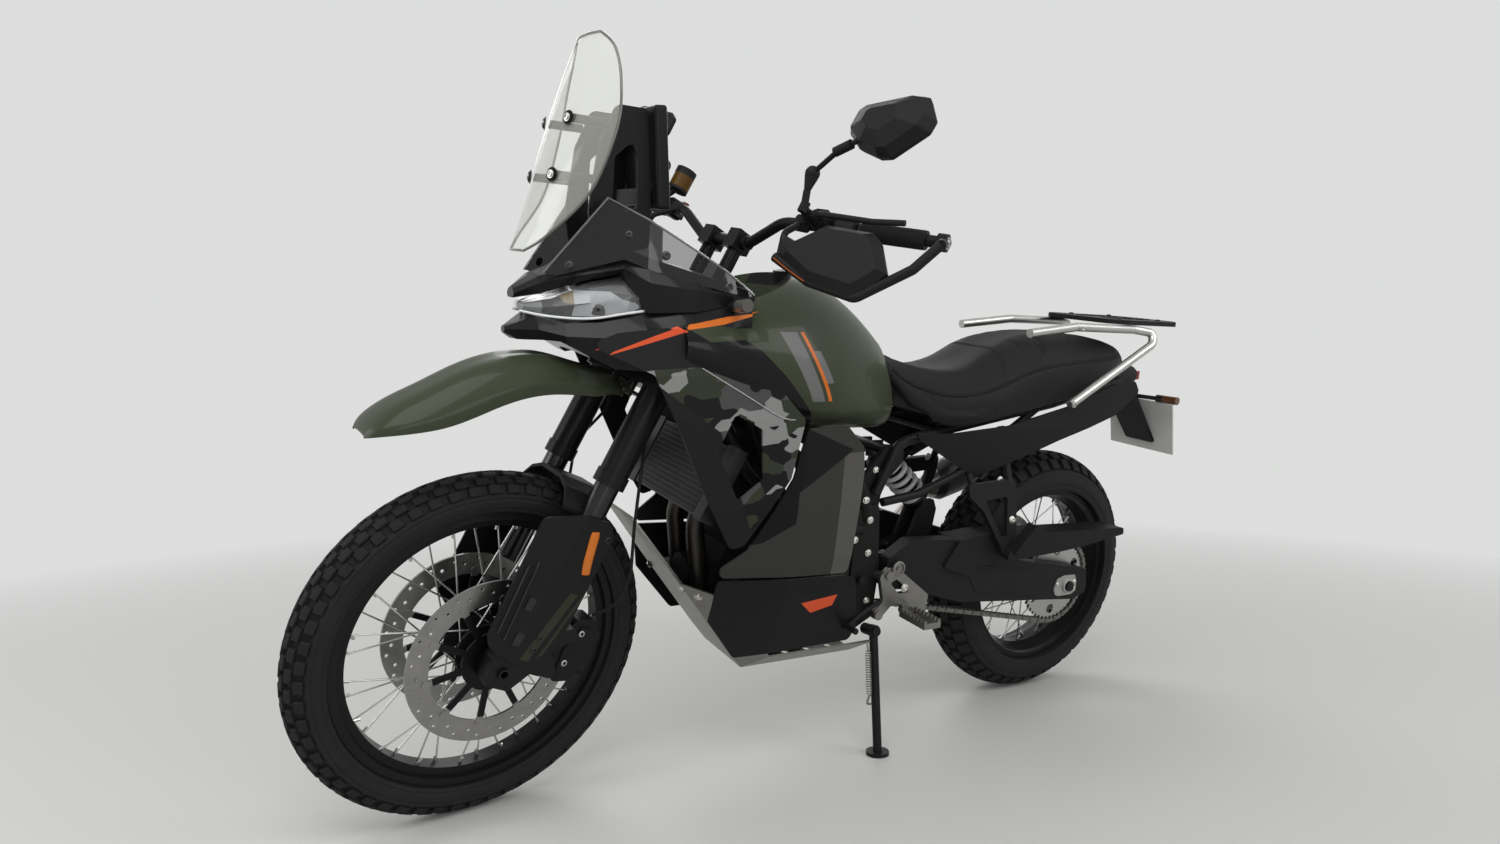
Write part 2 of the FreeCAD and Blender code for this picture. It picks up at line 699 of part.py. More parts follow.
guard_along = Vector(-0.37, 0.93, 0)
guard_out = Vector(0.93, 0.37, 0)
guard_middle = Vector(0, 330, 0)


def guard_ring(points, out):
    """An outline on the hand guard's own plane, pushed out from it."""
    return [guard_middle + guard_along * along + Vector(0, 0, height) + guard_out * out for along, height in points]


guard_rim = [(-100, 944), (-66, 938), (-24, 984), (66, 996), (88, 984), (124, 934), (104, 900), (78, 873), (-10, 874),
             (-80, 902)]
guard_face = [(-84, 936), (-62, 932), (-22, 972), (56, 984), (74, 976), (106, 932), (90, 908), (74, 892), (-8, 890),
              (-66, 912)]
guard_shell = loft([polygon(guard_ring(guard_rim, -16)), polygon(guard_ring(guard_rim, -4)),
                    polygon(guard_ring(guard_face, 10))], True)
guard_hollow = loft([polygon(guard_ring(guard_face, -17)), polygon(guard_ring(guard_face, 0))], True)
guard_shell = guard_shell.cut(guard_hollow)
guard_arm_line = [(-96, 900), (-10, 877), (86, 877), (160, 958), (186, 1014)]
guard_arm = tube(guard_ring(guard_arm_line, -12), 9, 18)
guard_stay = tube([Vector(-14, 214, 992), Vector(26, 232, 950), guard_ring([(-88, 906)], -12)[0]], 6.5, 20)
guard_clamp = bar_shape(Vector(-6, 212, 988), Vector(-26, 216, 996), 16)
end_weight = bar_shape(grip_out + grip_way * 0.3, grip_out + grip_way * 18, 16)
guard_tip = bar_shape(guard_ring([(186, 1014)], -12)[0], grip_out + grip_way * 10, 9)
guard = joined([guard_shell, guard_arm, guard_stay, guard_clamp, guard_tip, end_weight]).cut(
    tube(bar_left[1:], size.bar_diameter / 2 + 0.05, 60))
node("hand_guards", "steering", feature("HandGuards", Part.makeCompound(both(guard))))

mirror_heel = Vector(30, 254, 1004)
mirror_neck = Vector(40, 253, 1030)
mirror_ball = Vector(46, 252, 1062)
mirror_knee = Vector(62, 312, 1102)
mirror_head = Vector(62, 360, 1128)
mirror_stalk = joined([bar_shape(mirror_heel, mirror_neck, 7), bar_shape(mirror_neck, mirror_ball, 5),
                       Part.makeCone(6, 13, 26, mirror_neck, mirror_ball - mirror_neck),
                       Part.makeSphere(14, mirror_ball),
                       tube([mirror_ball, mirror_knee, mirror_head], 5, 20),
                       bar_shape(mirror_knee - Vector(0, 8, 5), mirror_knee + Vector(0, 24, 12), 9)])


def mirror_ring(depth, spread):
    outline = [(-94, -8), (-92, 32), (-76, 44), (40, 63), (58, 60), (92, 20), (90, -4), (34, -54), (8, -56), (-48, -40)]
    centre = Vector(56 + depth, 398, 1150)
    points = [centre + Vector(0, across * spread, height * spread) for across, height in outline]
    return Part.Wire([edge.toShape() for edge in rounded(points, 10 * spread, True)])


mirror_shell = loft([mirror_ring(-14, 0.97), mirror_ring(-4, 1.0), mirror_ring(14, 0.84), mirror_ring(30, 0.42)], True)
mirror_piece = joined([mirror_shell, mirror_stalk])
mirror_piece = mirror_piece.cut(controls)
node("mirrors", "steering", feature("Mirrors", Part.makeCompound(both(mirror_piece))))

# High front fender under the lower clamp: an arched sheet drawn out to a broad beak

fender_wall = 4


def arch(crest, edge, half_width, ridge, inset):
    """Points across the fender at one station; crest and edge are (lead, station) pairs."""
    top = Vector(crest[0] - inset * 0.6, 0, crest[1] - inset)
    low = Vector(edge[0] - inset * 0.6, 0, edge[1])
    width = half_width - inset * 0.8
    fall = low - top
    left = [top, top + fall * 0.05 + Vector(0, width * 0.32, ridge),
            top + fall * 0.2 + Vector(0, width * 0.7, 0),
            top + fall * 0.55 + Vector(0, width * 0.93, 0), low + Vector(0, width, 0)]
    right = [Vector(point.x, -point.y, point.z) for point in left]
    return right[:0:-1] + left


fender_stations = [((456, 296), (453, 288), 34, 0), ((447, 330), (438, 304), 60, 1),
                   ((421, 372), (400, 330), 74, 3), ((398, 402), (360, 358), 78, 4),
                   ((339, 476), (290, 430), 81, 5), ((228, 549), (200, 498), 84, 5),
                   ((126, 573), (116, 534), 82, 3), ((66, 574), (66, 550), 62, 1)]
fender_shell = sheet_solid([arch(*station, 0) for station in fender_stations],
                           [arch(*station, fender_wall) for station in fender_stations])
fender_boss = [Part.makeCylinder(9, size.lower_clamp_foot - 560, Vector(40, side * 34, 560))
               for side in (1, -1)]
fender_tongue = Part.makeBox(80, 96, 6, Vector(-4, -48, 566))
fender = joined([fender_shell, fender_tongue] + fender_boss)
node("front_fender", "steering", feature("FrontFender", fender))

# Fork guards, curved round the sliders, and the brace that ties them over the tyre

guard_outline = side_outline([(131, 290), (124, 60), (112, 40), (40, 20), (-19, 84), (-19, 306),
                              (6, 328), (60, 324)], 14)
guard_way = [(-30, 132), (10, 137), (60, 137), (140, 122)]
guard_sheet_outer = [Vector(along, across, -10) for along, across in guard_way]
guard_sheet_inner = [Vector(along, across - 4.5, -10) for along, across in reversed(guard_way)]
guard_sheet = Part.Face(polygon(guard_sheet_outer + guard_sheet_inner)).extrude(Vector(0, 0, 360))
fork_guard = guard_sheet.common(flank(guard_outline, leg_y + 20, 80))
guard_studs = [bar_shape(Vector(leg_x, leg_y + 22, height), Vector(leg_x, 133, height), 8)
               for height in (60, 84)]
guard_neck = Part.makeBox(40, 40, 14, Vector(leg_x - 20, leg_y - 8, 296))
guard_neck = guard_neck.cut(Part.makeCylinder(slider_radius, 60, Vector(leg_x, leg_y, 280)))
brace = loft([polygon([Vector(leg_x - 34, across, station + drop), Vector(leg_x + 62, across, station + drop - 4),
                       Vector(leg_x + 62, across, station + drop + 3), Vector(leg_x - 34, across, station + drop + 7)])
              for across, station, drop in ((-100, 318, 0), (-74, 350, 0), (-40, 364, 0), (40, 364, 0),
                                            (74, 350, 0), (100, 318, 0))], True)
tube_keepout = [Part.makeCylinder(slider_radius, 300, Vector(leg_x, side * leg_y, 200)) for side in (1, -1)]
brace_ears = [Part.makeBox(40, 46, 8, Vector(leg_x - 20, 92, 315)),
              Part.makeBox(40, 46, 8, Vector(leg_x - 20, -138, 315))]
guards_left = joined([fork_guard] + guard_studs + [guard_neck])
guards_all = joined([guards_left, guards_left.mirror(Vector(0, 0, 0), ACROSS), brace] + brace_ears)
for keepout in tube_keepout + [fork_legs.Shape]:
    guards_all = guards_all.cut(keepout)
node("fork_guards", "steering", feature("ForkGuards", guards_all))

# Front calipers, gripping each disc behind its leg

caliper_outline = side_outline([(-46, 20), (-40, 70), (-58, 128), (-96, 138), (-124, 112), (-128, 60),
                                (-104, 8), (-70, -2)], 12)
disc_plane = size.front_disc_spread / 2
caliper = flank(caliper_outline, disc_plane, 50)
disc_slot = Part.makeCylinder(size.front_disc_radius + 4, size.disc_thickness + 4,
                              Vector(axle_lead, disc_plane - size.disc_thickness / 2 - 2, 0), ACROSS)
caliper = caliper.cut(disc_slot)
caliper_lug = Part.makeBox(24, 5, 90, Vector(-70, disc_plane + 6, 22))
caliper = joined([caliper, caliper_lug]).cut(fork_legs.Shape)
caliper = largest(caliper)
node("front_calipers", "steering", feature("FrontCalipers", Part.makeCompound(both(caliper))))

# Brake hoses, held from the clamp to each caliper

hose_left = tube([Vector(30, 66, 586), Vector(-6, 80, 520), Vector(-8, 134, 430), Vector(-44, 140, 340),
                  Vector(-96, 132, 250), Vector(-118, 106, 180), Vector(-94, 84, 141)], 3.2, 60)
node("brake_hoses", "steering", feature("BrakeHoses", Part.makeCompound(both(hose_left))))

# Main frame: head tube, trellis of round tubes and the swingarm pivot plates

frame_radius = size.frame_tube_diameter / 2
frame_y = size.frame_half_width
head_foot = size.lower_clamp_foot + size.lower_clamp_height + size.head_clearance
head_length = size.upper_clamp_foot - size.head_clearance - head_foot
head = Part.makeCylinder(size.head_tube_diameter / 2, head_length, Vector(0, 0, head_foot))
head_bore = Part.makeCylinder(size.stem_diameter / 2 + size.running_fit, head_length + 2,
                              Vector(0, 0, head_foot - 1))
for shape in (head, head_bore):
    shape.Placement = fork_frame * shape.Placement


def on_fork(lead, across, station):
    """A point of the unsteered fork frame on the machine."""
    return fork_frame.multVec(Vector(lead, across, station))


head_low = on_fork(-12, 14, head_foot + 26)
head_high = on_fork(-12, 14, head_foot + head_length - 28)
plate_outer = frame_y
plate_inner = frame_y - size.pivot_plate_thickness
upper_way = [head_high, Vector(1010, frame_y - 30, 842), Vector(850, frame_y, 752), Vector(700, frame_y - 10, 640),
             Vector(676, frame_y - 10, 560)]
lower_way = [head_low, on_fork(-128, 58, head_foot + 10), Vector(1000, frame_y - 16, 690),
             Vector(930, frame_y + 4, 620), Vector(800, frame_y + 4, 560), Vector(690, frame_y - 10, 540)]
cross_way = [Vector(1010, frame_y - 30, 842), Vector(930, frame_y + 4, 620)]
brace_way = [Vector(850, frame_y, 752), Vector(800, frame_y + 4, 560)]
upper_tubes = both(tube(upper_way, frame_radius, 90))
lower_tubes = both(tube(lower_way, frame_radius - 3, 80))
struts = both(tube(cross_way, 12, 0)) + both(tube(brace_way, 12, 0))
pivot_outline = side_outline([(706, 590), (650, 600), (640, 500), (632, 440), (640, 330), (700, 300), (712, 340),
                              (712, 560)], 14)
pivot_plates = both(flank(pivot_outline, (plate_outer + plate_inner) / 2, size.pivot_plate_thickness))
shock_top = Vector(588, 0, 700)
shock_low = Vector(404, 0, 546)
beam_y = 118
shock_beam = bar_shape(shock_top + Vector(20, -beam_y, 8), shock_top + Vector(20, beam_y, 8), 14)
shock_gussets = both(flank(side_outline([(712, 540), (712, 640), (640, 730), (590, 728), (588, 690), (640, 640),
                                         (650, 560)], 10), frame_y - 14, 12))
low_beam = bar_shape(Vector(664, -plate_inner, 330), Vector(664, plate_inner, 330), 15)
shock_ears = [Part.makeBox(44, 8, 36, Vector(572, side * 21 - 4, 684)) for side in (1, -1)]
fairing_stay = Part.makeBox(164, 34, 22, Vector(24, -17, head_foot + 46))
fairing_stay.Placement = fork_frame * fairing_stay.Placement
frame_parts = [head] + upper_tubes + lower_tubes + struts + pivot_plates + [shock_beam, low_beam, fairing_stay]
frame_parts += shock_gussets + shock_ears
frame = joined(frame_parts).cut(head_bore)
pivot_hole = bar_shape(Vector(size.pivot_x, -200, size.pivot_z), Vector(size.pivot_x, 200, size.pivot_z),
                       size.pivot_bolt_radius + size.running_fit)
frame = frame.cut(pivot_hole)
node("main_frame", "chassis", feature("MainFrame", frame))

# Subframe: two rails and two struts behind the frame

sub_radius = size.subframe_tube_diameter / 2
rail_way = [Vector(668, frame_y + 2, 622), Vector(610, 124, 736), Vector(480, 112, 757), Vector(100, 100, 815),
            Vector(-190, 70, 868)]
strut_way = [Vector(640, 124, 600), Vector(540, 124, 612), Vector(420, 118, 650), Vector(150, 102, 807)]
sub_cross = [bar_shape(Vector(x, -across, z), Vector(x, across, z), 9)
             for x, across, z in ((480, 112, 757), (100, 100, 815), (-180, 71, 866))]
sub = joined(both(tube(rail_way, sub_radius, 60)) + both(tube(strut_way, sub_radius - 2, 60)) + sub_cross)
sub = sub.cut(frame)
sub_solids = [solid for solid in sub.Solids if solid.Volume > 1000]
node("subframe", "chassis", feature("Subframe", Part.makeCompound(sub_solids)))

# Engine: crankcase, inclined cylinders, head and side covers

crankcase = flank(side_outline([(1022, 360), (1046, 440), (1010, 520), (880, 560), (760, 556), (722, 500),
                                (722, 350), (790, 292), (962, 292)], 20), -10, 176)
barrels = flank(side_outline([(868, 540), (1000, 500), (1030, 640), (1016, 742), (906, 764), (886, 640)], 14), 0, 190)
alternator = Part.makeCylinder(72, 46, Vector(950, 76, 415), ACROSS)
alternator = alternator.makeFillet(14, [edge for edge in alternator.Edges if edge.BoundBox.YMin > 120])
clutch = Part.makeCylinder(88, 50, Vector(860, -146, 420), ACROSS)
clutch = clutch.makeFillet(14, [edge for edge in clutch.Edges if edge.BoundBox.YMax < -140])
oil_filter = Part.makeCylinder(34, 50, Vector(1030, 0, 452), Vector(1, 0, 0))
sprocket_cover = flank(side_outline([(724, 366), (722, 492), (800, 500), (852, 470), (852, 380), (790, 360)], 14),
                       122, 24)
cover_post = Part.makeCylinder(12, 60, Vector(836, 70, 430), ACROSS)
engine = joined([crankcase, barrels, alternator, clutch, oil_filter, sprocket_cover, cover_post])
drive = Vector(size.front_sprocket_x, 0, size.front_sprocket_z)
drive_shaft = Part.makeCylinder(14, 40, drive + Vector(0, 70, 0), ACROSS)
engine = joined([engine, drive_shaft]).cut(frame)
engine = Part.makeCompound([solid for solid in engine.Solids if solid.Volume > 5000])
node("engine", "chassis", feature("Engine", engine))

# Chain: one standing loop round both sprockets

def chain_run(offset_radius):
    """The loop's outline at a height above or below the pitch line."""
    big = rear_pitch_radius + offset_radius
    small = front_pitch_radius + offset_radius
    rear = Vector(0, 0, size.rear_tyre_radius)
    way = drive - rear
    along = math.atan2(way.z, way.x)
    tilt = math.asin((big - small) / way.Length)
    def spot(centre, radius, angle):
        return centre + Vector(math.cos(angle), 0, math.sin(angle)) * radius
    upper = along + math.pi / 2 - tilt
    lower = along - math.pi / 2 + tilt
    top_rear, top_front = spot(rear, big, upper), spot(drive, small, upper)
    low_rear, low_front = spot(rear, big, lower), spot(drive, small, lower)
    return Part.Wire([
        Part.LineSegment(top_rear, top_front).toShape(),
        Part.Arc(top_front, spot(drive, small, along), low_front).toShape(),
        Part.LineSegment(low_front, low_rear).toShape(),
        Part.Arc(low_rear, spot(rear, big, along + math.pi), top_rear).toShape()])


def band(outer_offset, inner_offset, start, width):
    whole = Part.Face(chain_run(outer_offset)).extrude(Vector(0, width, 0))
    hollow = Part.Face(chain_run(inner_offset)).extrude(Vector(0, width, 0))
    return whole.cut(hollow).translated(Vector(0, start, 0))


half_link = size.link_height / 2
roller = size.roller_diameter / 2
inside = size.plate_gap / 2
plates = [band(half_link, -half_link, size.chain_offset + inside, size.link_plate),
          band(half_link, -half_link, size.chain_offset - inside - size.link_plate, size.link_plate)]
rollers = band(roller, -roller, size.chain_offset - inside, size.plate_gap)
node("chain", "chassis", feature("Chain", joined(plates + [rollers])))

# Front sprocket, on the output shaft inside its cover

front_tip = front_pitch_radius - roller - size.tooth_clearance
front_sprocket = Part.makeCylinder(front_tip, size.sprocket_thickness,
                                   drive + Vector(0, size.chain_offset - size.sprocket_thickness / 2, 0), ACROSS)
front_sprocket = front_sprocket.cut(engine)
node("front_sprocket", "chassis", feature("FrontSprocket", front_sprocket))

# Swingarm: two deep arms, a cross beam, the pivot tube and the rear axle

arm_y = size.arm_inner + size.arm_thickness / 2
arm_outline = side_outline([(624, 470), (560, 508), (430, 500), (180, 420), (-70, 372), (-78, 306), (-30, 292),
                            (380, 336), (560, 392), (624, 398)], 16)
arms = both(flank(arm_outline, arm_y, size.arm_thickness))
beam = flank(side_outline([(478, 348), (478, 438), (396, 430), (396, 350)], 12), 0, 2 * size.arm_inner)
pivot_tube = bar_shape(Vector(size.pivot_x, -plate_inner + 0.3, size.pivot_z),
                       Vector(size.pivot_x, plate_inner - 0.3, size.pivot_z), size.pivot_tube_radius)
webs = both(flank(side_outline([(690, 402), (690, 446), (610, 440), (470, 432), (470, 352), (600, 396)], 6), 60, 36))
pivot_bolt = bar_shape(Vector(size.pivot_x, -frame_y - 12, size.pivot_z),
                       Vector(size.pivot_x, frame_y + 12, size.pivot_z), size.pivot_bolt_radius)
rear_axle = bar_shape(Vector(0, -arm_y - 30, size.rear_tyre_radius), Vector(0, arm_y + 30, size.rear_tyre_radius),
                      size.rear_axle_diameter / 2)
left_collar = bar_shape(Vector(0, sprocket_face + size.seat_gap, size.rear_tyre_radius),
                        Vector(0, size.arm_inner, size.rear_tyre_radius), 20)
right_collar = bar_shape(Vector(0, -size.arm_inner, size.rear_tyre_radius),
                         Vector(0, -rear_disc_face - size.seat_gap, size.rear_tyre_radius), 20)
shock_link = both(flank(side_outline([(478, 400), (478, 440), (430, 566), (396, 566), (384, 540), (400, 430),
                                      (420, 400)], 8), 24, 10))
spacer_pin = bar_shape(Vector(404, -28, 546), Vector(404, 28, 546), 9)
swingarm = joined(arms + [beam, pivot_tube, spacer_pin] + shock_link + webs + [pivot_bolt, rear_axle, left_collar, right_collar])
node("swingarm", "chassis", feature("Swingarm", swingarm))

# Rear shock: damper body, spring and its two eyes

shock_way = (shock_top - shock_low).normalize()
shock_length = (shock_top - shock_low).Length
damper = bar_shape(shock_low, shock_top - shock_way * 8, 15)
eye_top = Part.makeCylinder(16, 33, shock_top - Vector(0, 16.5, 0), ACROSS)
seat_rings = [bar_shape(shock_low + shock_way * 40, shock_low + shock_way * 50, 36),
              bar_shape(shock_top - shock_way * 50, shock_top - shock_way * 38, 38)]
coil_post = bar_shape(shock_low + shock_way * 44, shock_top - shock_way * 44, 22)
eye_low = Part.makeCylinder(17, 37, shock_low - Vector(0, 18.5, 0), ACROSS)
shock = joined([damper, coil_post, eye_top, eye_low] + seat_rings).cut(swingarm).cut(frame)
coils = []
turns = 6
first_coil = 64
coil_pitch = (shock_length - 2 * first_coil) / (turns - 1)
coil_slant = 11
for index in range(turns):
    centre = shock_low + shock_way * (first_coil + coil_pitch * index)
    coil = Part.makeTorus(31, 6, centre, shock_way)
    coil.rotate(centre, ACROSS, coil_slant)
    coils.append(coil)
shock = Part.makeCompound([largest(shock)] + coils)
node("rear_shock", "chassis", feature("RearShock", shock))

# Chain guard over the upper run, with its long fin

guard_y = size.arm_inner + size.arm_thickness
chain_guard = flank(side_outline([(456, 436), (412, 498), (331, 505), (198, 496), (-188, 478), (-192, 460), (-30, 440),
                                  (60, 434), (350, 424), (372, 402)], 5), guard_y + 4, 8)
guard_roof = flank(side_outline([(420, 497), (331, 504), (198, 495), (-188, 477), (-190, 470), (198, 488),
                                 (331, 497), (420, 490)], 2), 118, 64)
chain_guard = joined([chain_guard, guard_roof]).cut(swingarm)
chain_guard = largest(chain_guard)
node("chain_guard", "chassis", feature("ChainGuard", chain_guard))

# Fuel tank with its green flanks, a recess for the steering and a dark centre cover

tank_body = loft([
    girth(1205, [(0, 988), (110, 992), (180, 990), (218, 966), (214, 930), (160, 908), (0, 904)]),
    girth(1130, [(0, 1058), (100, 1052), (180, 1018), (228, 962), (226, 905), (165, 872), (0, 868)]),
    girth(1000, [(0, 1098), (80, 1090), (165, 1044), (226, 958), (232, 868), (175, 806), (0, 796)]),
    girth(880, [(0, 1094), (75, 1084), (152, 1034), (212, 940), (222, 836), (168, 786), (0, 780)]),
    girth(780, [(0, 1060), (65, 1050), (132, 1000), (184, 905), (190, 822), (150, 784), (0, 778)]),
    girth(690, [(0, 1004), (50, 996), (104, 950), (144, 872), (150, 812), (126, 780), (0, 776)]),
    girth(632, [(0, 958), (40, 952), (80, 906), (108, 850), (112, 806), (100, 782), (0, 778)])])
steer_room = Part.makeCylinder(172, 700, Vector(0, 0, 520))
steer_room.Placement = fork_frame * steer_room.Placement
frame_room = joined(both(tube(upper_way, frame_radius + 6, 90)) + both(tube(lower_way[:3], frame_radius + 4, 80)) +
                    both(tube(cross_way, 18, 0)))
tunnel = Part.makeBox(240, 150, 190, Vector(960, -75, 700))
head_room = Part.makeBox(130, 120, 160, Vector(-140, -60, head_foot - 10))
head_room.Placement = fork_frame * head_room.Placement
tank_whole = tank_body.cut(steer_room).cut(frame_room).cut(tunnel).cut(head_room)
tank_whole = largest(tank_whole)
cover_block = Part.Face(polygon([Vector(1240, -90, 900), Vector(1240, 90, 900), Vector(1000, 96, 900),
                                 Vector(760, 60, 900), Vector(620, 30, 900), Vector(620, -30, 900),
                                 Vector(760, -60, 900), Vector(1000, -96, 900)])).extrude(Vector(0, 0, 300))
lid_zone = flank(side_outline([(1240, 1004), (1130, 1028), (1000, 1066), (880, 1064), (780, 1032), (690, 978),
                               (620, 926), (620, 1200), (1240, 1200)], 0), 0, 300)
tank_lid = tank_whole.common(cover_block).common(lid_zone)
tank_lid = largest(tank_lid)
filler = Part.makeCylinder(34, 30, Vector(859, 0, 1070), Vector(0.12, 0, 1))
tank = tank_whole.cut(tank_lid)
tank = largest(tank)
tank_lid = joined([tank_lid, filler.cut(tank)])
node("fuel_tank", "chassis", feature("FuelTank", tank))
node("tank_top_cover", "chassis", feature("TankTopCover", tank_lid))

# Side fairings: shroud, graphite side panel and belly cover, each a thin shaped sheet

wall = size.panel_wall
flank_line = [[(150, 240), (156, 296), (206, 440), (224, 520), (236, 640), (240, 820), (236, 900), (212, 1010)],
              [(120, 240), (128, 296), (168, 440), (180, 520), (196, 640), (206, 820), (206, 900), (190, 1010)]]
flank_sheet = skin(flank_line, wall, 940, 1400)
rear_line = [[(140, 240), (148, 296), (196, 440), (208, 520), (206, 640), (196, 760), (190, 900), (180, 1010)],
             flank_line[0]]
rear_sheet = skin(rear_line, wall, 700, 940)
shroud_points = [(1384, 950), (1330, 972), (1236, 984), (1110, 958), (1030, 900), (948, 818), (968, 700),
                 (1054, 566), (1082, 560), (1130, 640), (1210, 800), (1262, 900)]
shroud = flank(side_outline(shroud_points, 14), 180, 160).common(flank_sheet)
slot = flank(side_outline([(1040, 800), (1100, 830), (1130, 760), (1080, 660), (1030, 700)], 8), 180, 200)
shroud = shroud.cut(slot)
panel_points = [(830, 800), (776, 752), (770, 700), (786, 478), (1092, 500), (1098, 520), (1044, 556), (962, 700),
                (940, 800)]
side_panel = flank(side_outline(panel_points, 10), 180, 160).common(joined([flank_sheet, rear_sheet]))
side_panel = side_panel.cut(shroud)
belly_points = [(1098, 494), (786, 472), (760, 462), (708, 330), (716, 292), (1020, 300), (1100, 400)]
belly = flank(side_outline(belly_points, 12), 160, 180).common(joined([flank_sheet, rear_sheet]))


def clear_of(sheet_shape, *others):
    """What is left of a sheet outside its neighbours, largest piece only."""
    rest = sheet_shape
    for other in others:
        rest = rest.cut(other)
    return largest(rest)


shroud = clear_of(shroud, tank)
side_panel = clear_of(side_panel, tank, shroud, frame)
belly = clear_of(belly, side_panel, engine)
node("shrouds", "chassis", feature("Shrouds", Part.makeCompound(both(shroud))))
node("side_panels", "chassis", feature("SidePanels", Part.makeCompound(both(side_panel))))
node("belly_covers", "chassis", feature("BellyCovers", Part.makeCompound(both(belly))))

# Skid plate: a bent sheet under the engine with slanted sides

skid_top = [(1226, 590), (1100, 424), (1000, 292), (956, 238), (660, 232)]
skid_wall = 4


def skid_section(across, inset, rise):
    line = [Vector(along - inset, across, height + rise) for along, height in skid_top]
    return polygon([point for point in line] + [point + Vector(-skid_wall, 0, skid_wall) for point in reversed(line)])


skid = loft([skid_section(-140, 30, 42), skid_section(-84, 0, 0), skid_section(84, 0, 0),
             skid_section(140, 30, 42)], True)
skid_trim = Part.Face(polygon([Vector(900, 60, 660), Vector(900, 62, 600), Vector(900, 84, 450), Vector(900, 200, 400),
                               Vector(900, 200, 660)])).extrude(Vector(400, 0, 0))
skid = clear_of(skid, belly, belly.mirror(Vector(0, 0, 0), ACROSS), *both(skid_trim))
skid_holes = [bar_shape(Vector(x, y, 200), Vector(x, y, 300), 9) for x in (700, 760, 820, 880) for y in (-50, 0, 50)]
for hole in skid_holes:
    skid = skid.cut(hole)
node("skid_plate", "chassis", feature("SkidPlate", skid))

# Radiator behind the front wheel, with its core and side tanks

radiator = joined([Part.makeBox(26, 290, 152, Vector(-190, -145, 408)),
                   Part.makeBox(32, 30, 160, Vector(-193, 145, 404)),
                   Part.makeBox(32, 30, 160, Vector(-193, -175, 404))])
radiator.Placement = fork_frame * radiator.Placement
node("radiator", "chassis", feature("Radiator", clear_of(radiator, frame, engine, shroud)))

# Exhaust: two headers, a collector and the raised silencer on the right

headers = [tube([Vector(1010, side * 46, 690), Vector(1052, side * 46, 664), Vector(1074, side * 48, 560),
                 Vector(1052, side * 48, 410), Vector(962, side * 44, 268), Vector(860, side * 34, 264),
                 Vector(760, -20, 264)], 19, 60) for side in (1, -1)]
link_pipe = tube([Vector(790, -20, 264), Vector(700, -50, 264), Vector(600, -140, 268), Vector(520, -196, 296),
                  Vector(400, -222, 350), Vector(290, -236, 408), Vector(205, -236, 500), Vector(150, -236, 530)], 22, 60)
silencer_start = Vector(190, -236, 520)
silencer_way = Vector(-1, -0.02, 0.27).normalize()


def silencer_ring(distance, spread):
    centre = silencer_start + silencer_way * distance
    oval = Part.Ellipse(Vector(0, 0, 0), 62 * spread, 46 * spread).toShape()
    oval.Placement = Placement(centre, Rotation(UP, ACROSS, Vector(-1, 0, 0), "ZYX"))
    return Part.Wire(oval)


silencer = loft([silencer_ring(0, 0.5), silencer_ring(60, 0.95), silencer_ring(240, 1.0), silencer_ring(420, 0.98),
                 silencer_ring(450, 0.8)], True)
exhaust = joined(headers + [link_pipe, silencer])
exhaust = clear_of(exhaust, engine, frame, swingarm, radiator, skid)
node("exhaust", "chassis", feature("Exhaust", exhaust))

# Seat: rider's hollow, step and passenger pad

seat_pad = loft([
    crowned(631, [(0, 958), (34, 948), (52, 930), (56, 900)]),
    crowned(560, [(0, 908), (70, 902), (112, 866), (122, 800)]),
    crowned(470, [(0, 892), (90, 888), (144, 848), (152, 770)]),
    crowned(370, [(0, 908), (100, 904), (156, 860), (160, 782)]),
    crowned(300, [(0, 944), (96, 938), (150, 880), (156, 792)]),
    crowned(200, [(0, 976), (92, 970), (142, 906), (148, 808)]),
    crowned(60, [(0, 986), (84, 980), (130, 922), (134, 830)]),
    crowned(-80, [(0, 980), (72, 974), (106, 930), (110, 862)]),
    crowned(-205, [(0, 958), (40, 954), (60, 936), (64, 900)])])
pan_side = flank(side_outline([(700, 700), (700, 812), (560, 808), (490, 784), (370, 800), (100, 842), (-80, 878),
                               (-260, 914), (-260, 700)], 0), 0, 400)
pan_plan = Part.Face(polygon([Vector(700, 128, 650), Vector(480, 127, 650), Vector(100, 115, 650),
                              Vector(-260, 84, 650), Vector(-260, -84, 650), Vector(100, -115, 650),
                              Vector(480, -127, 650), Vector(700, -128, 650)])).extrude(Vector(0, 0, 300))
seat = clear_of(seat_pad, pan_side.common(pan_plan))
node("seat", "chassis", feature("Seat", seat))

# Tail side panels under the seat

tail_edge = [(590, 764), (480, 758), (300, 772), (98, 816), (-70, 872), (-150, 880), (-170, 850), (-80, 790),
             (110, 730), (355, 640), (430, 676), (560, 742)]
tail_sheet = skin([[(120, 600), (150, 700), (158, 760), (150, 900)], [(104, 600), (132, 700), (150, 760), (150, 900)]],
                  wall, -200, 620)
tail = flank(side_outline(tail_edge, 12), 130, 120).common(tail_sheet)
tail = clear_of(tail, seat, sub)
node("tail_panels", "chassis", feature("TailPanels", Part.makeCompound(both(tail))))

# Grab rails and rack plate

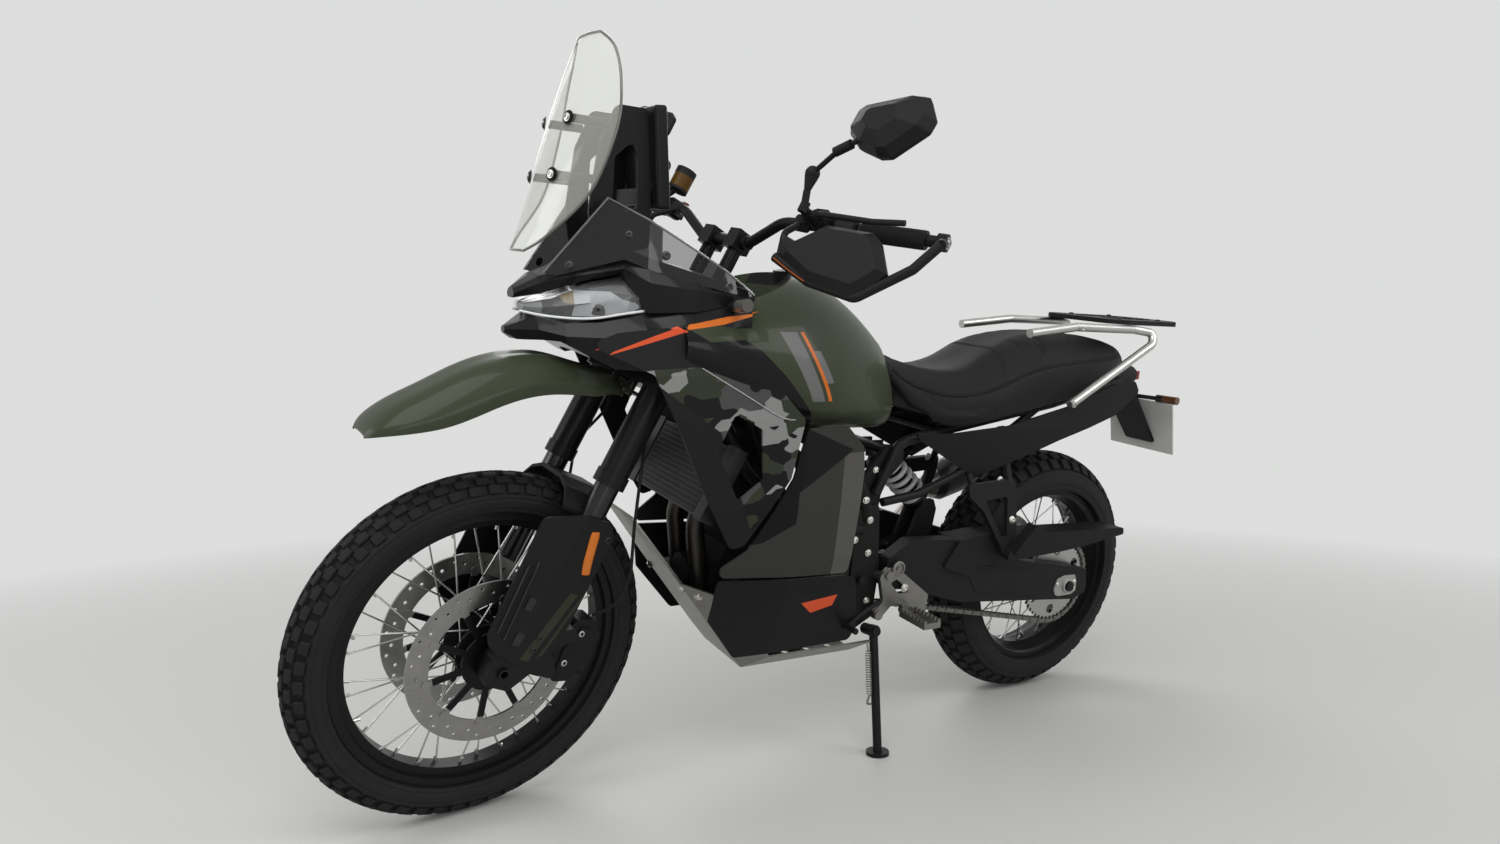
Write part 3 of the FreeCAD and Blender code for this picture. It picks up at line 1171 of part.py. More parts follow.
rail_radius = size.rail_diameter / 2
rail_top = size.rack_height - size.rack_clearance - rail_radius
grab = tube([Vector(110, 166, rail_top - 189), Vector(-195, 152, rail_top - 34), Vector(-205, 140, rail_top - 6),
             Vector(-150, 122, rail_top), Vector(60, 112, rail_top), Vector(230, 118, rail_top - 20)],
            rail_radius, 30)
rack_middle = Vector(-222, 0, size.rack_height)
rack_bolt_radius = 4.2
rack_bolt_reach = 80
rack_bolt_circle = rack_bolt_reach * math.sqrt(2)
rack_bolts = [(rack_middle.x + x, y, rack_bolt_radius) for x in (-rack_bolt_reach, rack_bolt_reach)
              for y in (-rack_bolt_reach, rack_bolt_reach)]
rack_outline = [(-66, -96), (-66, 96), (-118, 128), (-330, 118), (-398, 64), (-398, -64), (-330, -118),
                (-118, -128)]
rack = plate("RackPlate", "XY_Plane", rack_outline, "Sizes.rack_plate_thickness", "Sizes.rack_height", 22,
             holes=rack_bolts)
rails = Part.makeCompound(both(clear_of(grab, seat, tail)))
node("grab_rails", "chassis", feature("GrabRails", rails))
node("rack_plate", "chassis", rack)

# Rear lamps, indicators, mudguard bracket and number plate

tail_box = loft([girth(-197, [(0, 906), (50, 900), (60, 880), (50, 850), (0, 846)]),
                 girth(-300, [(0, 900), (36, 896), (44, 882), (36, 862), (0, 858)])])
mud = Part.Face(polygon([Vector(-200, -45, 850), Vector(-280, -45, 862), Vector(-420, -45, 690),
                         Vector(-412, -45, 684), Vector(-270, -45, 840), Vector(-200, -45, 838)])).extrude(
                             Vector(0, 90, 0))
holder = joined([tail_box, mud])
holder = clear_of(holder, sub, seat)
node("plate_holder", "chassis", feature("PlateHolder", holder))
plate_shape = Part.makeBox(2, 210, 150, Vector(0, -105, 0))
plate_shape.Placement = Placement(Vector(-428, 0, 660), Rotation(ACROSS, 14)) * plate_shape.Placement
node("number_plate", "chassis", feature("NumberPlate", plate_shape.cut(holder)))
tail_lamp = Part.makeBox(14, 80, 24, Vector(-314.3, -40, 868))
stalks = both(joined([bar_shape(Vector(-330, 30, 820), Vector(-336, 92, 822), 6),
                      bar_shape(Vector(-338, 90, 822), Vector(-342, 150, 824), 11)]))
lamps = [tail_lamp] + [stalk.cut(holder) for stalk in stalks]
node("rear_lamps", "chassis", feature("RearLamps", Part.makeCompound(lamps)))

# Nose fairing, headlight, lower screen pieces and front indicators

nose_outer = loft([
    facets(1476, [(0, 962), (8, 960), (12, 956), (8, 950), (0, 948)]),
    facets(1430, [(0, 984), (46, 985), (70, 962), (52, 926), (0, 918)]),
    facets(1392, [(0, 978), (92, 977), (112, 955), (84, 918), (0, 906)]),
    facets(1335, [(0, 984), (124, 983), (150, 958), (140, 902), (0, 896)]),
    facets(1268, [(0, 1003), (150, 1004), (190, 970), (190, 904), (0, 898)]),
    facets(1180, [(0, 1010), (196, 1012), (212, 962), (211, 922), (0, 916)]),
    facets(1072, [(0, 1034), (208, 1036), (216, 1002), (214, 988), (0, 980)])], True)
nose_room = Part.makeCylinder(176, 700, Vector(0, 0, 400))
nose_room.Placement = fork_frame * nose_room.Placement
fender_sweep = [(0, 400), (0, 584), (244, 584), (268, 560), (350, 496), (404, 425), (404, 400)]
fender_room = Part.Face(polygon([Vector(reach, 0, station) for reach, station in fender_sweep])).revolve(
    Vector(0, 0, 0), UP, 360)
fender_room.Placement = fork_frame
nose = clear_of(nose_outer, nose_room, fender_room, tank, frame, *both(shroud))
cowl = loft([
    facets(1464, [(0, 1034), (14, 1030), (22, 1022), (16, 1014), (0, 1014)]),
    facets(1424, [(0, 1064), (44, 1058), (64, 1048), (52, 1026), (0, 1022)]),
    facets(1360, [(0, 1096), (84, 1082), (102, 1066), (90, 1054), (0, 1040)]),
    facets(1300, [(0, 1114), (118, 1100), (140, 1082), (124, 1072), (0, 1050)]),
    facets(1262, [(0, 1120), (140, 1106), (172, 1060), (164, 1006), (0, 1006)]),
    facets(1180, [(0, 1120), (176, 1084), (202, 1052), (200, 1014), (0, 1012)]),
    facets(1066, [(0, 1090), (196, 1056), (208, 1044), (206, 1038), (0, 1036)])], True)
cowl = clear_of(cowl, nose_room, nose, frame)
node("nose_fairing", "chassis", feature("NoseFairing", nose))
node("upper_cowl", "chassis", feature("UpperCowl", cowl))
lens = loft([
    facets(1450, [(0, 1010), (20, 1008), (26, 1000), (18, 990), (0, 990)]),
    facets(1408, [(0, 1020), (58, 1022), (78, 1004), (66, 984), (0, 984)]),
    facets(1350, [(0, 1036), (88, 1052), (118, 1018), (112, 986), (0, 986)]),
    facets(1292, [(0, 1050), (118, 1068), (148, 1034), (140, 1000), (0, 1000)]),
    facets(1256, [(0, 1040), (138, 1050), (156, 1030), (150, 1008), (0, 1008)])], True)
lens = clear_of(lens, nose_room, nose, cowl, frame)
node("headlight", "chassis", feature("Headlight", lens))

# Tinted deflectors from the cowl to the tank, and the front indicators

deflector_top = [Vector(1422, 58, 1064), Vector(1322, 100, 1204), Vector(1258, 140, 1171), Vector(1190, 170, 1131),
                 Vector(1121, 190, 1091), Vector(1066, 204, 1050)]
deflector_foot = [Vector(1404, 72, 1060), Vector(1300, 136, 1098), Vector(1262, 156, 1084), Vector(1205, 184, 1066),
                  Vector(1150, 200, 1058), Vector(1072, 208, 1044)]
deflector = strip(deflector_top, deflector_foot, 4)
deflector = clear_of(deflector, cowl)
node("wind_deflectors", "chassis", feature("WindDeflectors", Part.makeCompound(both(deflector))))
indicator = joined([bar_shape(Vector(1114, 196, 1026), Vector(1112, 226, 1030), 7),
                    bar_shape(Vector(1112, 222, 1030), Vector(1112, 262, 1034), 12)])
indicator = clear_of(indicator, cowl, nose)
node("front_indicators", "chassis", feature("FrontIndicators", Part.makeCompound(both(indicator))))

# Windscreen: a tall curved sheet on four clamps, and its tower with the display

def screen_section(height, lead, half_width, sweep):
    """A section of the screen: an arc that sweeps back towards its edges."""
    thick = 4
    outer = [Vector(lead - sweep, half_width, height), Vector(lead, 0, height), Vector(lead - sweep, -half_width, height)]
    inner = [point - Vector(thick, 0, 0) for point in outer]
    edges = [Part.Arc(outer[0], outer[1], outer[2]), Part.LineSegment(outer[2], inner[2]),
             Part.Arc(inner[2], inner[1], inner[0]), Part.LineSegment(inner[0], outer[0])]
    return Part.Wire([edge.toShape() for edge in edges])


screen = loft([screen_section(1100, 1462, 40, 6), screen_section(1130, 1452, 84, 24), screen_section(1210, 1430, 128, 62),
               screen_section(1320, 1400, 150, 66), screen_section(1400, 1376, 138, 50),
               screen_section(1460, 1357, 104, 30), screen_section(1490, 1347, 60, 10)])
node("windscreen", "chassis", feature("Windscreen", screen))
tower = flank(side_outline([(1330, 1100), (1345, 1180), (1330, 1300), (1300, 1372), (1240, 1372), (1228, 1340),
                            (1222, 1120)], 14), 62, 8)
window = flank(side_outline([(1300, 1180), (1300, 1280), (1256, 1320), (1250, 1190)], 14), 62, 30)
tower = tower.cut(window)
cross_bars = [Part.makeBox(14, 132, 30, Vector(1232, -66, 1200)), Part.makeBox(14, 132, 30, Vector(1240, -66, 1330))]
clips = [bar_shape(Vector(1318, 62, 1336), Vector(1384, 64, 1336), 8), bar_shape(Vector(1330, 62, 1236), Vector(1412, 62, 1236), 8)]
tower_all = joined(both(tower) + cross_bars + both(clips[0]) + both(clips[1]))
tower_all = clear_of(tower_all, screen, cowl)
node("screen_tower", "chassis", feature("ScreenTower", tower_all))
dash = Part.makeBox(26, 180, 186, Vector(0, -90, 0))
dash = dash.makeFillet(6, dash.Edges)
dash.Placement = Placement(Vector(1192, 0, 1196), Rotation(ACROSS, 6)) * dash.Placement
node("display", "chassis", feature("Display", clear_of(dash, tower_all)))

# Foot pegs, their brackets and the foot controls

peg_y = frame_y + 22
peg_bracket = flank(side_outline([(650, 436), (624, 454), (594, 446), (498, 374), (506, 324), (538, 330), (588, 368),
                                  (608, 362), (634, 336), (656, 332), (658, 350), (634, 376)], 9), peg_y, 12)
peg_window = flank(side_outline([(618, 416), (600, 424), (552, 388), (590, 388)], 5), peg_y, 40)
peg_boss = [bar_shape(Vector(x, frame_y, z), Vector(x, peg_y - 4, z), 10) for x, z in ((636, 430), (646, 344))]
peg_bolts = [bar_shape(Vector(x, peg_y + 4, z), Vector(x, peg_y + 12, z), 11) for x, z in ((624, 436), (646, 344))]
peg_hinge = bar_shape(Vector(572, peg_y + 4, 350), Vector(572, peg_y + 30, 350), 13)
peg_teeth = []
peg_reach = 86
tooth_count = 7
for index in range(tooth_count):
    across = peg_y + 26 + index * (peg_reach - 12) / (tooth_count - 1)
    for edge_x in (548, 588):
        peg_teeth.append(Part.makeBox(8, 6, 8, Vector(edge_x, across, 352)))
peg = Part.makeBox(48, peg_reach, 14, Vector(548, peg_y + 22, 340))
peg_hollow = Part.makeBox(28, peg_reach - 14, 20, Vector(558, peg_y + 28, 336))
rider_peg = joined([peg_bracket.cut(peg_window), peg.cut(peg_hollow), peg_hinge] + peg_boss + peg_bolts + peg_teeth)
node("rider_pegs", "chassis", feature("RiderPegs", Part.makeCompound(both(clear_of(rider_peg, frame, swingarm)))))
pax_plate = flank(side_outline([(398, 630), (244, 636), (238, 596), (250, 470), (262, 446), (290, 446), (300, 474),
                                (350, 560), (394, 600)], 10), 0, 12)
pax_hole = flank(side_outline([(346, 588), (270, 594), (278, 496), (292, 492)], 8), 0, 30)
pax_plate = pax_plate.cut(pax_hole)
pax_plate.rotate(Vector(0, 0, 630), Vector(1, 0, 0), 12)
pax_plate.translate(Vector(0, 138, 0))
pax_stays = [bar_shape(Vector(376, 100, 668), Vector(376, 140, 618), 9), bar_shape(Vector(258, 88, 758), Vector(258, 140, 622), 9)]
pax_pivot = bar_shape(Vector(276, 166, 462), Vector(276, 196, 458), 15)
pax_peg = Part.makeBox(16, 28, 84, Vector(-8, -14, 0))
pax_peg.Placement = Placement(Vector(272, 192, 466), Rotation(UP, Vector(-46, 14, 68)))
pax = joined([pax_plate, pax_pivot, pax_peg] + pax_stays)
pax = clear_of(pax, sub, tail)
node("passenger_pegs", "chassis", feature("PassengerPegs", Part.makeCompound(both(pax))))

# Foot controls: shift lever on the left, brake pedal on the right

shift = joined([tube([Vector(640, peg_y, 372), Vector(700, 166, 360), Vector(744, 172, 336)], 5, 12),
                bar_shape(Vector(744, 160, 336), Vector(744, 206, 338), 7)])
shift = clear_of(shift, nodes["rider_pegs"][0].Shape, frame, engine, belly)
pedal = joined([tube([Vector(640, -peg_y, 372), Vector(700, -170, 356), Vector(748, -176, 334)], 6, 12),
                Part.makeBox(36, 34, 8, Vector(732, -196, 334))])
pedal = clear_of(pedal, nodes["rider_pegs"][0].Shape, frame, engine, belly.mirror(Vector(0, 0, 0), ACROSS))
node("foot_controls", "chassis", feature("FootControls", Part.makeCompound([shift, pedal])))

# Rear caliper, above the arm on the right

rear_caliper = flank(side_outline([(58, 402), (54, 440), (84, 452), (124, 420), (124, 396), (96, 380)], 8), -91, 40)
rear_slot = Part.makeCylinder(size.rear_disc_radius + 4, size.disc_thickness + 4,
                              Vector(0, -size.rear_disc_offset - size.disc_thickness / 2 - 2, size.rear_tyre_radius),
                              ACROSS)
rear_caliper = largest(rear_caliper.cut(rear_slot).cut(swingarm))
node("rear_caliper", "chassis", feature("RearCaliper", rear_caliper))

# Side stand: a tapering leg on a pin through the frame's lug, its foot flat on the floor

stand_pivot = Vector(size.stand_pivot_x, size.stand_pivot_y, size.stand_pivot_z)
foot_guess = Vector(size.stand_foot_x, size.stand_foot_y, 30)
rise_at_foot = parked.multVec(foot_guess).z
foot_point = foot_guess - Vector(0, 0, rise_at_foot - 8)
leg_way = (foot_point - stand_pivot).normalize()
folded_way = Vector(-0.985, 0.15, 0.08).normalize()
hinge = leg_way.cross(folded_way).normalize()
foot_pad = Part.makeCylinder(26, 8, Vector(0, 0, 0))
foot_pad.Placement = parked.inverse() * Placement(Vector(parked.multVec(foot_point).x, parked.multVec(foot_point).y, 0),
                                                  Rotation())
leg_radius = size.stand_leg_diameter / 2
leg_start = stand_pivot + leg_way * 11
leg = bar_shape(leg_start, foot_point, leg_radius)
knuckle = bar_shape(stand_pivot - hinge * 9, stand_pivot + hinge * 9, 14)
stand = joined([leg, knuckle, foot_pad])
pin_radius = size.stand_pin_diameter / 2
pin = bar_shape(stand_pivot - hinge * 44, stand_pivot + hinge * 16, pin_radius)
stand = stand.cut(bar_shape(stand_pivot - hinge * 60, stand_pivot + hinge * 60, pin_radius + size.running_fit))
node("side_stand", "side_stand", feature("SideStand", stand))
lug = joined([pin, bar_shape(stand_pivot - hinge * 40, stand_pivot - hinge * 10, 13),
              bar_shape(stand_pivot + hinge * 10, stand_pivot + hinge * 17, 10)])
node("stand_lug", "chassis", feature("StandLug", clear_of(lug, frame)))

# Finish: lean every piece over, centre the machine over its own box, check and write

doc.recompute()
placed = {label: parked * FRAMES[body] for label, (piece, body) in nodes.items()}
for label, (piece, body) in nodes.items():
    piece.Placement = placed[label]
doc.recompute()
boxes = []
for piece, body in nodes.values():
    piece.Shape.tessellate(1.0)
    boxes.append(piece.Shape.optimalBoundingBox(True, False))
middle_x = (min(box.XMin for box in boxes) + max(box.XMax for box in boxes)) / 2
middle_y = (min(box.YMin for box in boxes) + max(box.YMax for box in boxes)) / 2
centred = Placement(Vector(-middle_x, -middle_y, 0), Rotation())
row_frame = centred * parked
for label, (piece, body) in nodes.items():
    piece.Placement = centred * placed[label]
doc.recompute()

for item in doc.Objects:
    if "Invalid" in item.State or "Error" in item.State:
        raise RuntimeError(f"{item.Name} did not build")
os.makedirs("parts", exist_ok=True)
for label, (piece, body) in nodes.items():
    shape = piece.Shape
    if shape.isNull() or not shape.isValid() or not shape.Solids:
        raise RuntimeError(f"{label} is not a valid solid")
    shape.exportStep(f"parts/{label}.step")
print(len(nodes), "nodes,", round(sum(piece.Shape.Volume for piece, body in nodes.values()) / 1e6, 1), "litres")
print("length", round(max(box.XMax for box in boxes) - min(box.XMin for box in boxes)),
      "width", round(max(box.YMax for box in boxes) - min(box.YMin for box in boxes)),
      "height", round(max(box.ZMax for box in boxes)))
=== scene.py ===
# Looks of the adventure motorcycle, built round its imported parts. Metres; X forward, Y left, Z up.
import json
import math
from functools import reduce

import bmesh
import bpy
from mathutils import Matrix, Vector
from mathutils.bvhtree import BVHTree
from mathutils.kdtree import KDTree


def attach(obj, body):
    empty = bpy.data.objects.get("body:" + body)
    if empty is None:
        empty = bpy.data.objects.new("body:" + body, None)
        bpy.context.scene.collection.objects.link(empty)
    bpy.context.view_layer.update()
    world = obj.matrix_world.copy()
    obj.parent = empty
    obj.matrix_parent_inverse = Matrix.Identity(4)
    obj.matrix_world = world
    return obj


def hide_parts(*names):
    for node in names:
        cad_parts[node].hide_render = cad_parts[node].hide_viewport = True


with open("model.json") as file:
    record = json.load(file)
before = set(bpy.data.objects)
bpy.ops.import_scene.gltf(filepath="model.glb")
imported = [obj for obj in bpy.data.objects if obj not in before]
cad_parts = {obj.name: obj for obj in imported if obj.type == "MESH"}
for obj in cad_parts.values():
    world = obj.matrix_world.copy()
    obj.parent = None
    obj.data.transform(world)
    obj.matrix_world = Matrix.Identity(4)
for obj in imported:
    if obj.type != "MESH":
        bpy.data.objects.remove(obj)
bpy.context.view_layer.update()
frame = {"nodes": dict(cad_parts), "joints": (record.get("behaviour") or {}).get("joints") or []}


# Where the machine stands: it leans on its stand, so its own frame is tipped to the left.
# The frame's origin is on the floor line under the rear axle, and the wheels give its axes.
joints = {joint["name"]: joint for joint in frame["joints"]}
rear_radius = 0.3335
front_radius = 0.3475
rear_axle = Vector(joints["rear_wheel_spin"]["pos_m"])
machine_left = Vector(joints["rear_wheel_spin"]["axis"])
machine_ahead = Vector((-machine_left.z, 0, machine_left.x)).normalized()
machine_up = machine_ahead.cross(machine_left)
front_axle = Vector(joints["front_wheel_spin"]["pos_m"])
front_left = Vector(joints["front_wheel_spin"]["axis"])
steering_up = Vector(joints["steering"]["axis"])
steering_ahead = front_left.cross(steering_up)
axle_lead = 0.0584


def axes_at(origin, ahead, left, up):
    """The matrix of a frame from its origin and its three directions."""
    turned = Matrix((ahead, left, up)).transposed().to_4x4()
    return Matrix.Translation(origin) @ turned


machine = axes_at(rear_axle - machine_up * rear_radius, machine_ahead, machine_left, machine_up)
fork = axes_at(front_axle - steering_ahead * axle_lead, steering_ahead, front_left, steering_up)
front_wheel = axes_at(front_axle, steering_ahead, front_left, steering_up)
rear_wheel = axes_at(rear_axle, machine_ahead, machine_left, machine_up)


# Camera: a wide phone lens in front of the left fork leg, at the height of the tank.
# Its place is measured from the rear tyre's contact with the floor.
camera_from_contact = Vector((1.954, 1.839, 0.822))
camera_ahead = Vector((-0.5125, -0.8581, -0.0325))
camera_right = Vector((-0.8584, 0.5129, -0.0060))
sensor_width = 36.0
focal_pixels = 916.4
photo_width = 1500.0
contact = machine.translation.copy()
contact.z = 0
camera_data = bpy.data.cameras.new("camera")
camera_data.sensor_width = sensor_width
camera_data.lens = focal_pixels / photo_width * sensor_width
camera = bpy.data.objects.new("camera", camera_data)
bpy.context.scene.collection.objects.link(camera)
camera_back = -camera_ahead.normalized()
camera_over = camera_back.cross(camera_right).normalized()
camera.matrix_world = axes_at(contact + camera_from_contact, camera_over.cross(camera_back), camera_over,
                              camera_back)
bpy.context.scene.camera = camera


# Studio: a pale floor that runs up into a pale wall, and broad soft lamps.
# Only the floor and the world are pale; the lamps stay at a plain level.
floor_tone = (0.62, 0.62, 0.60, 1)
floor_dim_tone = (0.62 * 0.94, 0.62 * 0.94, 0.60 * 0.94, 1)
floor_reach = 14.0
fade_start = 1.3
fade_end = 4.2
world_tone = (0.72, 0.73, 0.72, 1)
world_strength = 0.34
lamp_aim = Vector((0, 0, 0.6))
lamp_list = [((1.6, 1.4, 3.2), 2.6, 1.8, 62), ((-2.2, 2.6, 2.6), 2.2, 1.6, 46),
             ((0.6, 3.6, 1.2), 2.4, 1.4, 30), ((-1.0, -2.6, 2.6), 2.4, 1.6, 38),
             ((3.2, -0.8, 1.6), 1.6, 1.4, 26)]


def add_node(tree, kind, inputs=None, operation=None, data_type=None):
    """A node whose inputs, by name or number, are each set to a value or linked to a socket."""
    made = tree.nodes.new(kind)
    if operation is not None:
        made.operation = operation
    if data_type is not None:
        made.data_type = data_type
    for key, value in (inputs or {}).items():
        if isinstance(value, bpy.types.NodeSocket):
            tree.links.new(value, made.inputs[key])
        else:
            made.inputs[key].default_value = value
    return made


def in_scene(name, data):
    """A new object of some data, put into the scene."""
    made = bpy.data.objects.new(name, data)
    bpy.context.scene.collection.objects.link(made)
    return made


scene_view = bpy.context.scene.view_settings
scene_view.view_transform = "Standard"
world = bpy.data.worlds.new("studio")
bpy.context.scene.world = world
world.use_nodes = True
sky = world.node_tree
lit_sky = sky.nodes["Background"]
lit_sky.inputs["Color"].default_value = world_tone
lit_sky.inputs["Strength"].default_value = world_strength
seen_sky = add_node(sky, "ShaderNodeBackground", {"Color": world_tone, "Strength": 1.0})
rays = add_node(sky, "ShaderNodeLightPath").outputs
mirrored = add_node(sky, "ShaderNodeMath", {0: rays["Is Glossy Ray"], 1: rays["Is Transmission Ray"]},
                    "MAXIMUM")
seen = add_node(sky, "ShaderNodeMath", {0: rays["Is Camera Ray"], 1: mirrored.outputs[0]}, "MAXIMUM")
sky_choice = add_node(sky, "ShaderNodeMixShader",
                      {0: seen.outputs[0], 1: lit_sky.outputs[0], 2: seen_sky.outputs[0]})
sky.links.new(sky_choice.outputs[0], sky.nodes["World Output"].inputs["Surface"])

floor_mesh = bpy.data.meshes.new("floor")
floor_corners = [(-1, -1), (1, -1), (1, 1), (-1, 1)]
floor_mesh.from_pydata([(ahead * floor_reach, left * floor_reach, 0) for ahead, left in floor_corners], [],
                       [(0, 1, 2, 3)])
floor = in_scene("floor", floor_mesh)
floor_paint = bpy.data.materials.new("floor")
floor_paint.use_nodes = True
floor_tree = floor_paint.node_tree
floor_shader = floor_tree.nodes["Principled BSDF"]
floor_shader.inputs["Roughness"].default_value = 0.55
floor_grain = add_node(floor_tree, "ShaderNodeTexNoise", {"Scale": 1.4})
floor_mix = add_node(floor_tree, "ShaderNodeMixRGB",
                     {0: floor_grain.outputs[0], 1: floor_tone, 2: floor_dim_tone})
floor_tree.links.new(floor_mix.outputs[0], floor_shader.inputs["Base Color"])
floor_place = add_node(floor_tree, "ShaderNodeTexCoord")
floor_far = add_node(floor_tree, "ShaderNodeVectorMath", {0: floor_place.outputs["Object"]}, "LENGTH")
floor_fade = add_node(floor_tree, "ShaderNodeMapRange",
                      {"Value": floor_far.outputs["Value"], "From Min": fade_start, "From Max": fade_end})
floor_glow = add_node(floor_tree, "ShaderNodeEmission", {"Color": world_tone})
floor_rays = add_node(floor_tree, "ShaderNodeLightPath").outputs
floor_seen = add_node(floor_tree, "ShaderNodeMath",
                      {0: floor_rays["Is Camera Ray"], 1: floor_rays["Is Glossy Ray"]}, "MAXIMUM")
floor_share = add_node(floor_tree, "ShaderNodeMath", {0: floor_fade.outputs[0], 1: floor_seen.outputs[0]},
                       "MULTIPLY")
floor_blend = add_node(floor_tree, "ShaderNodeMixShader",
                       {0: floor_share.outputs[0], 1: floor_shader.outputs[0], 2: floor_glow.outputs[0]})
floor_tree.links.new(floor_blend.outputs[0], floor_tree.nodes["Material Output"].inputs["Surface"])
floor_mesh.materials.append(floor_paint)

for index, (place, width, height, power) in enumerate(lamp_list):
    lamp_data = bpy.data.lights.new(f"lamp{index}", "AREA")
    lamp_data.shape = "RECTANGLE"
    lamp_data.size = width
    lamp_data.size_y = height
    lamp_data.energy = power
    lamp = in_scene(f"lamp{index}", lamp_data)
    lamp.location = place
    lamp.rotation_mode = "QUATERNION"
    lamp.rotation_quaternion = (lamp_aim - Vector(place)).to_track_quat("-Z", "Y")


# Frame, subframe and swingarm: welded steel tube and cast plates, powder coated satin black.
# The coat is a little uneven and shows fine orange peel where light rakes along a tube.
paint_specular = 0.1
metal_specular = 0.5
sheen_drift = 0.07


def finish(name, colour, rough=0.5, metal=0.0, mottle=0.12, patch=9.0, grain=700.0, relief=0.0004, coat=0.0):
    """A material whose tone, roughness and fine relief vary over the piece's own coordinates."""
    made = bpy.data.materials.new(name)
    made.use_nodes = True
    tree = made.node_tree
    shader = tree.nodes["Principled BSDF"]
    shader.inputs["Metallic"].default_value = metal
    shader.inputs["Coat Weight"].default_value = coat
    shader.inputs["Specular IOR Level"].default_value = paint_specular if metal < 0.5 else metal_specular
    place = add_node(tree, "ShaderNodeTexCoord")
    place.name = "place"
    spot = place.outputs["Object"]
    broad = add_node(tree, "ShaderNodeTexNoise", {"Vector": spot, "Scale": patch, "Detail": 6})
    fine = add_node(tree, "ShaderNodeTexNoise", {"Vector": spot, "Scale": grain, "Detail": 2})
    darker = tuple(part * (1 - mottle) for part in colour) + (1,)
    lighter = tuple(part * (1 + mottle) for part in colour) + (1,)
    drift = broad.outputs["Fac"]
    tone = add_node(tree, "ShaderNodeMix", {0: drift, 6: darker, 7: lighter}, data_type="RGBA")
    sheen = add_node(tree, "ShaderNodeMapRange", {"Value": drift, "To Min": max(0.02, rough - sheen_drift),
                                                  "To Max": min(1.0, rough + sheen_drift)})
    bump = add_node(tree, "ShaderNodeBump",
                    {"Height": fine.outputs["Fac"], "Distance": relief, "Strength": 0.5})
    tree.links.new(tone.outputs[2], shader.inputs["Base Color"])
    tree.links.new(sheen.outputs["Result"], shader.inputs["Roughness"])
    tree.links.new(bump.outputs["Normal"], shader.inputs["Normal"])
    return made


def wear(material, *names):
    """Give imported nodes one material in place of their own."""
    for name in names:
        node = frame["nodes"][name]
        node.data.materials.clear()
        node.data.materials.append(material)


frame_coat = finish("frame_coat", (0.011, 0.011, 0.011), 0.40, grain=500)
wear(frame_coat, "main_frame", "subframe", "stand_lug", "foot_controls")
cast_black = finish("cast_black", (0.012, 0.012, 0.013), 0.46, grain=240, relief=0.001)
wear(cast_black, "swingarm", "passenger_pegs")


# Engine and radiator: black painted castings, with a finned core behind the shrouds.
# The exhaust is brushed stainless, painted much darker forward of a line near where the headers leave the
# engine.
silencer_front = 0.16
header_end = 0.86


def reading(material):
    """The Object coordinates of a material's piece."""
    return material.node_tree.nodes["place"].outputs["Object"]


def sum_of(material, operation, *values):
    """One arithmetic node on sockets or numbers."""
    return add_node(material.node_tree, "ShaderNodeMath", dict(enumerate(values)), operation).outputs[0]


def other_than(material, mask):
    """1 where a mask is 0."""
    return sum_of(material, "SUBTRACT", 1.0, mask)


def either(material, *masks):
    """1 where any of some masks is 1."""
    return reduce(lambda joined, mask: sum_of(material, "MAXIMUM", joined, mask), masks)


def both_of(material, *masks):
    """1 only where all of some masks are 1."""
    return reduce(lambda joined, mask: sum_of(material, "MINIMUM", joined, mask), masks)


def side_of(material, place, point, normal, blur=0.0006):
    """1 on the side of a plane that its normal points to, 0 on the other; both are in the place's frame."""
    aim = (place.to_3x3() @ Vector(normal)).normalized()
    base = place @ Vector(point)
    along = add_node(material.node_tree, "ShaderNodeVectorMath", {0: reading(material), 1: aim},
                     "DOT_PRODUCT")
    height = sum_of(material, "SUBTRACT", along.outputs["Value"], aim.dot(base))
    edge = sum_of(material, "MULTIPLY_ADD", height, 1 / blur, 0.5)
    edge.node.use_clamp = True
    return edge


def in_shape(material, points, place=machine):
    """1 inside a convex outline of (ahead, up) points in millimetres, seen square to the machine's side."""
    edges = list(zip(points, points[1:] + points[:1]))
    turns = sum(start[0] * end[1] - end[0] * start[1] for start, end in edges)
    inward = 1 if turns > 0 else -1
    return both_of(material, *[side_of(material, place, (start[0] / 1000, 0, start[1] / 1000),
                                       (inward * (start[1] - end[1]), 0, inward * (end[0] - start[0])))
                               for start, end in edges])


def over_line(material, start, end, place=machine):
    """1 on the upper side of a line through two (ahead, up) points in millimetres."""
    ahead = end[0] - start[0]
    up = end[1] - start[1]
    normal = (-up, 0, ahead) if ahead > 0 else (up, 0, -ahead)
    return side_of(material, place, (start[0] / 1000, 0, start[1] / 1000), normal)


def paint_over(material, mask, colour, rough=None):
    """Lay another colour, or another socket's, over what a material shows, where a mask is 1."""
    tree = material.node_tree
    inputs = tree.nodes["Principled BSDF"].inputs
    below = inputs["Base Color"].links[0].from_socket
    paint = colour if isinstance(colour, bpy.types.NodeSocket) else tuple(colour) + (1,)
    layer = add_node(tree, "ShaderNodeMix", {0: mask, 6: below, 7: paint}, data_type="RGBA")
    tree.links.new(layer.outputs[2], inputs["Base Color"])
    if rough is not None:
        under = inputs["Roughness"].links[0].from_socket
        gloss = add_node(tree, "ShaderNodeMix", {0: mask, 2: under, 3: rough})
        tree.links.new(gloss.outputs[0], inputs["Roughness"])


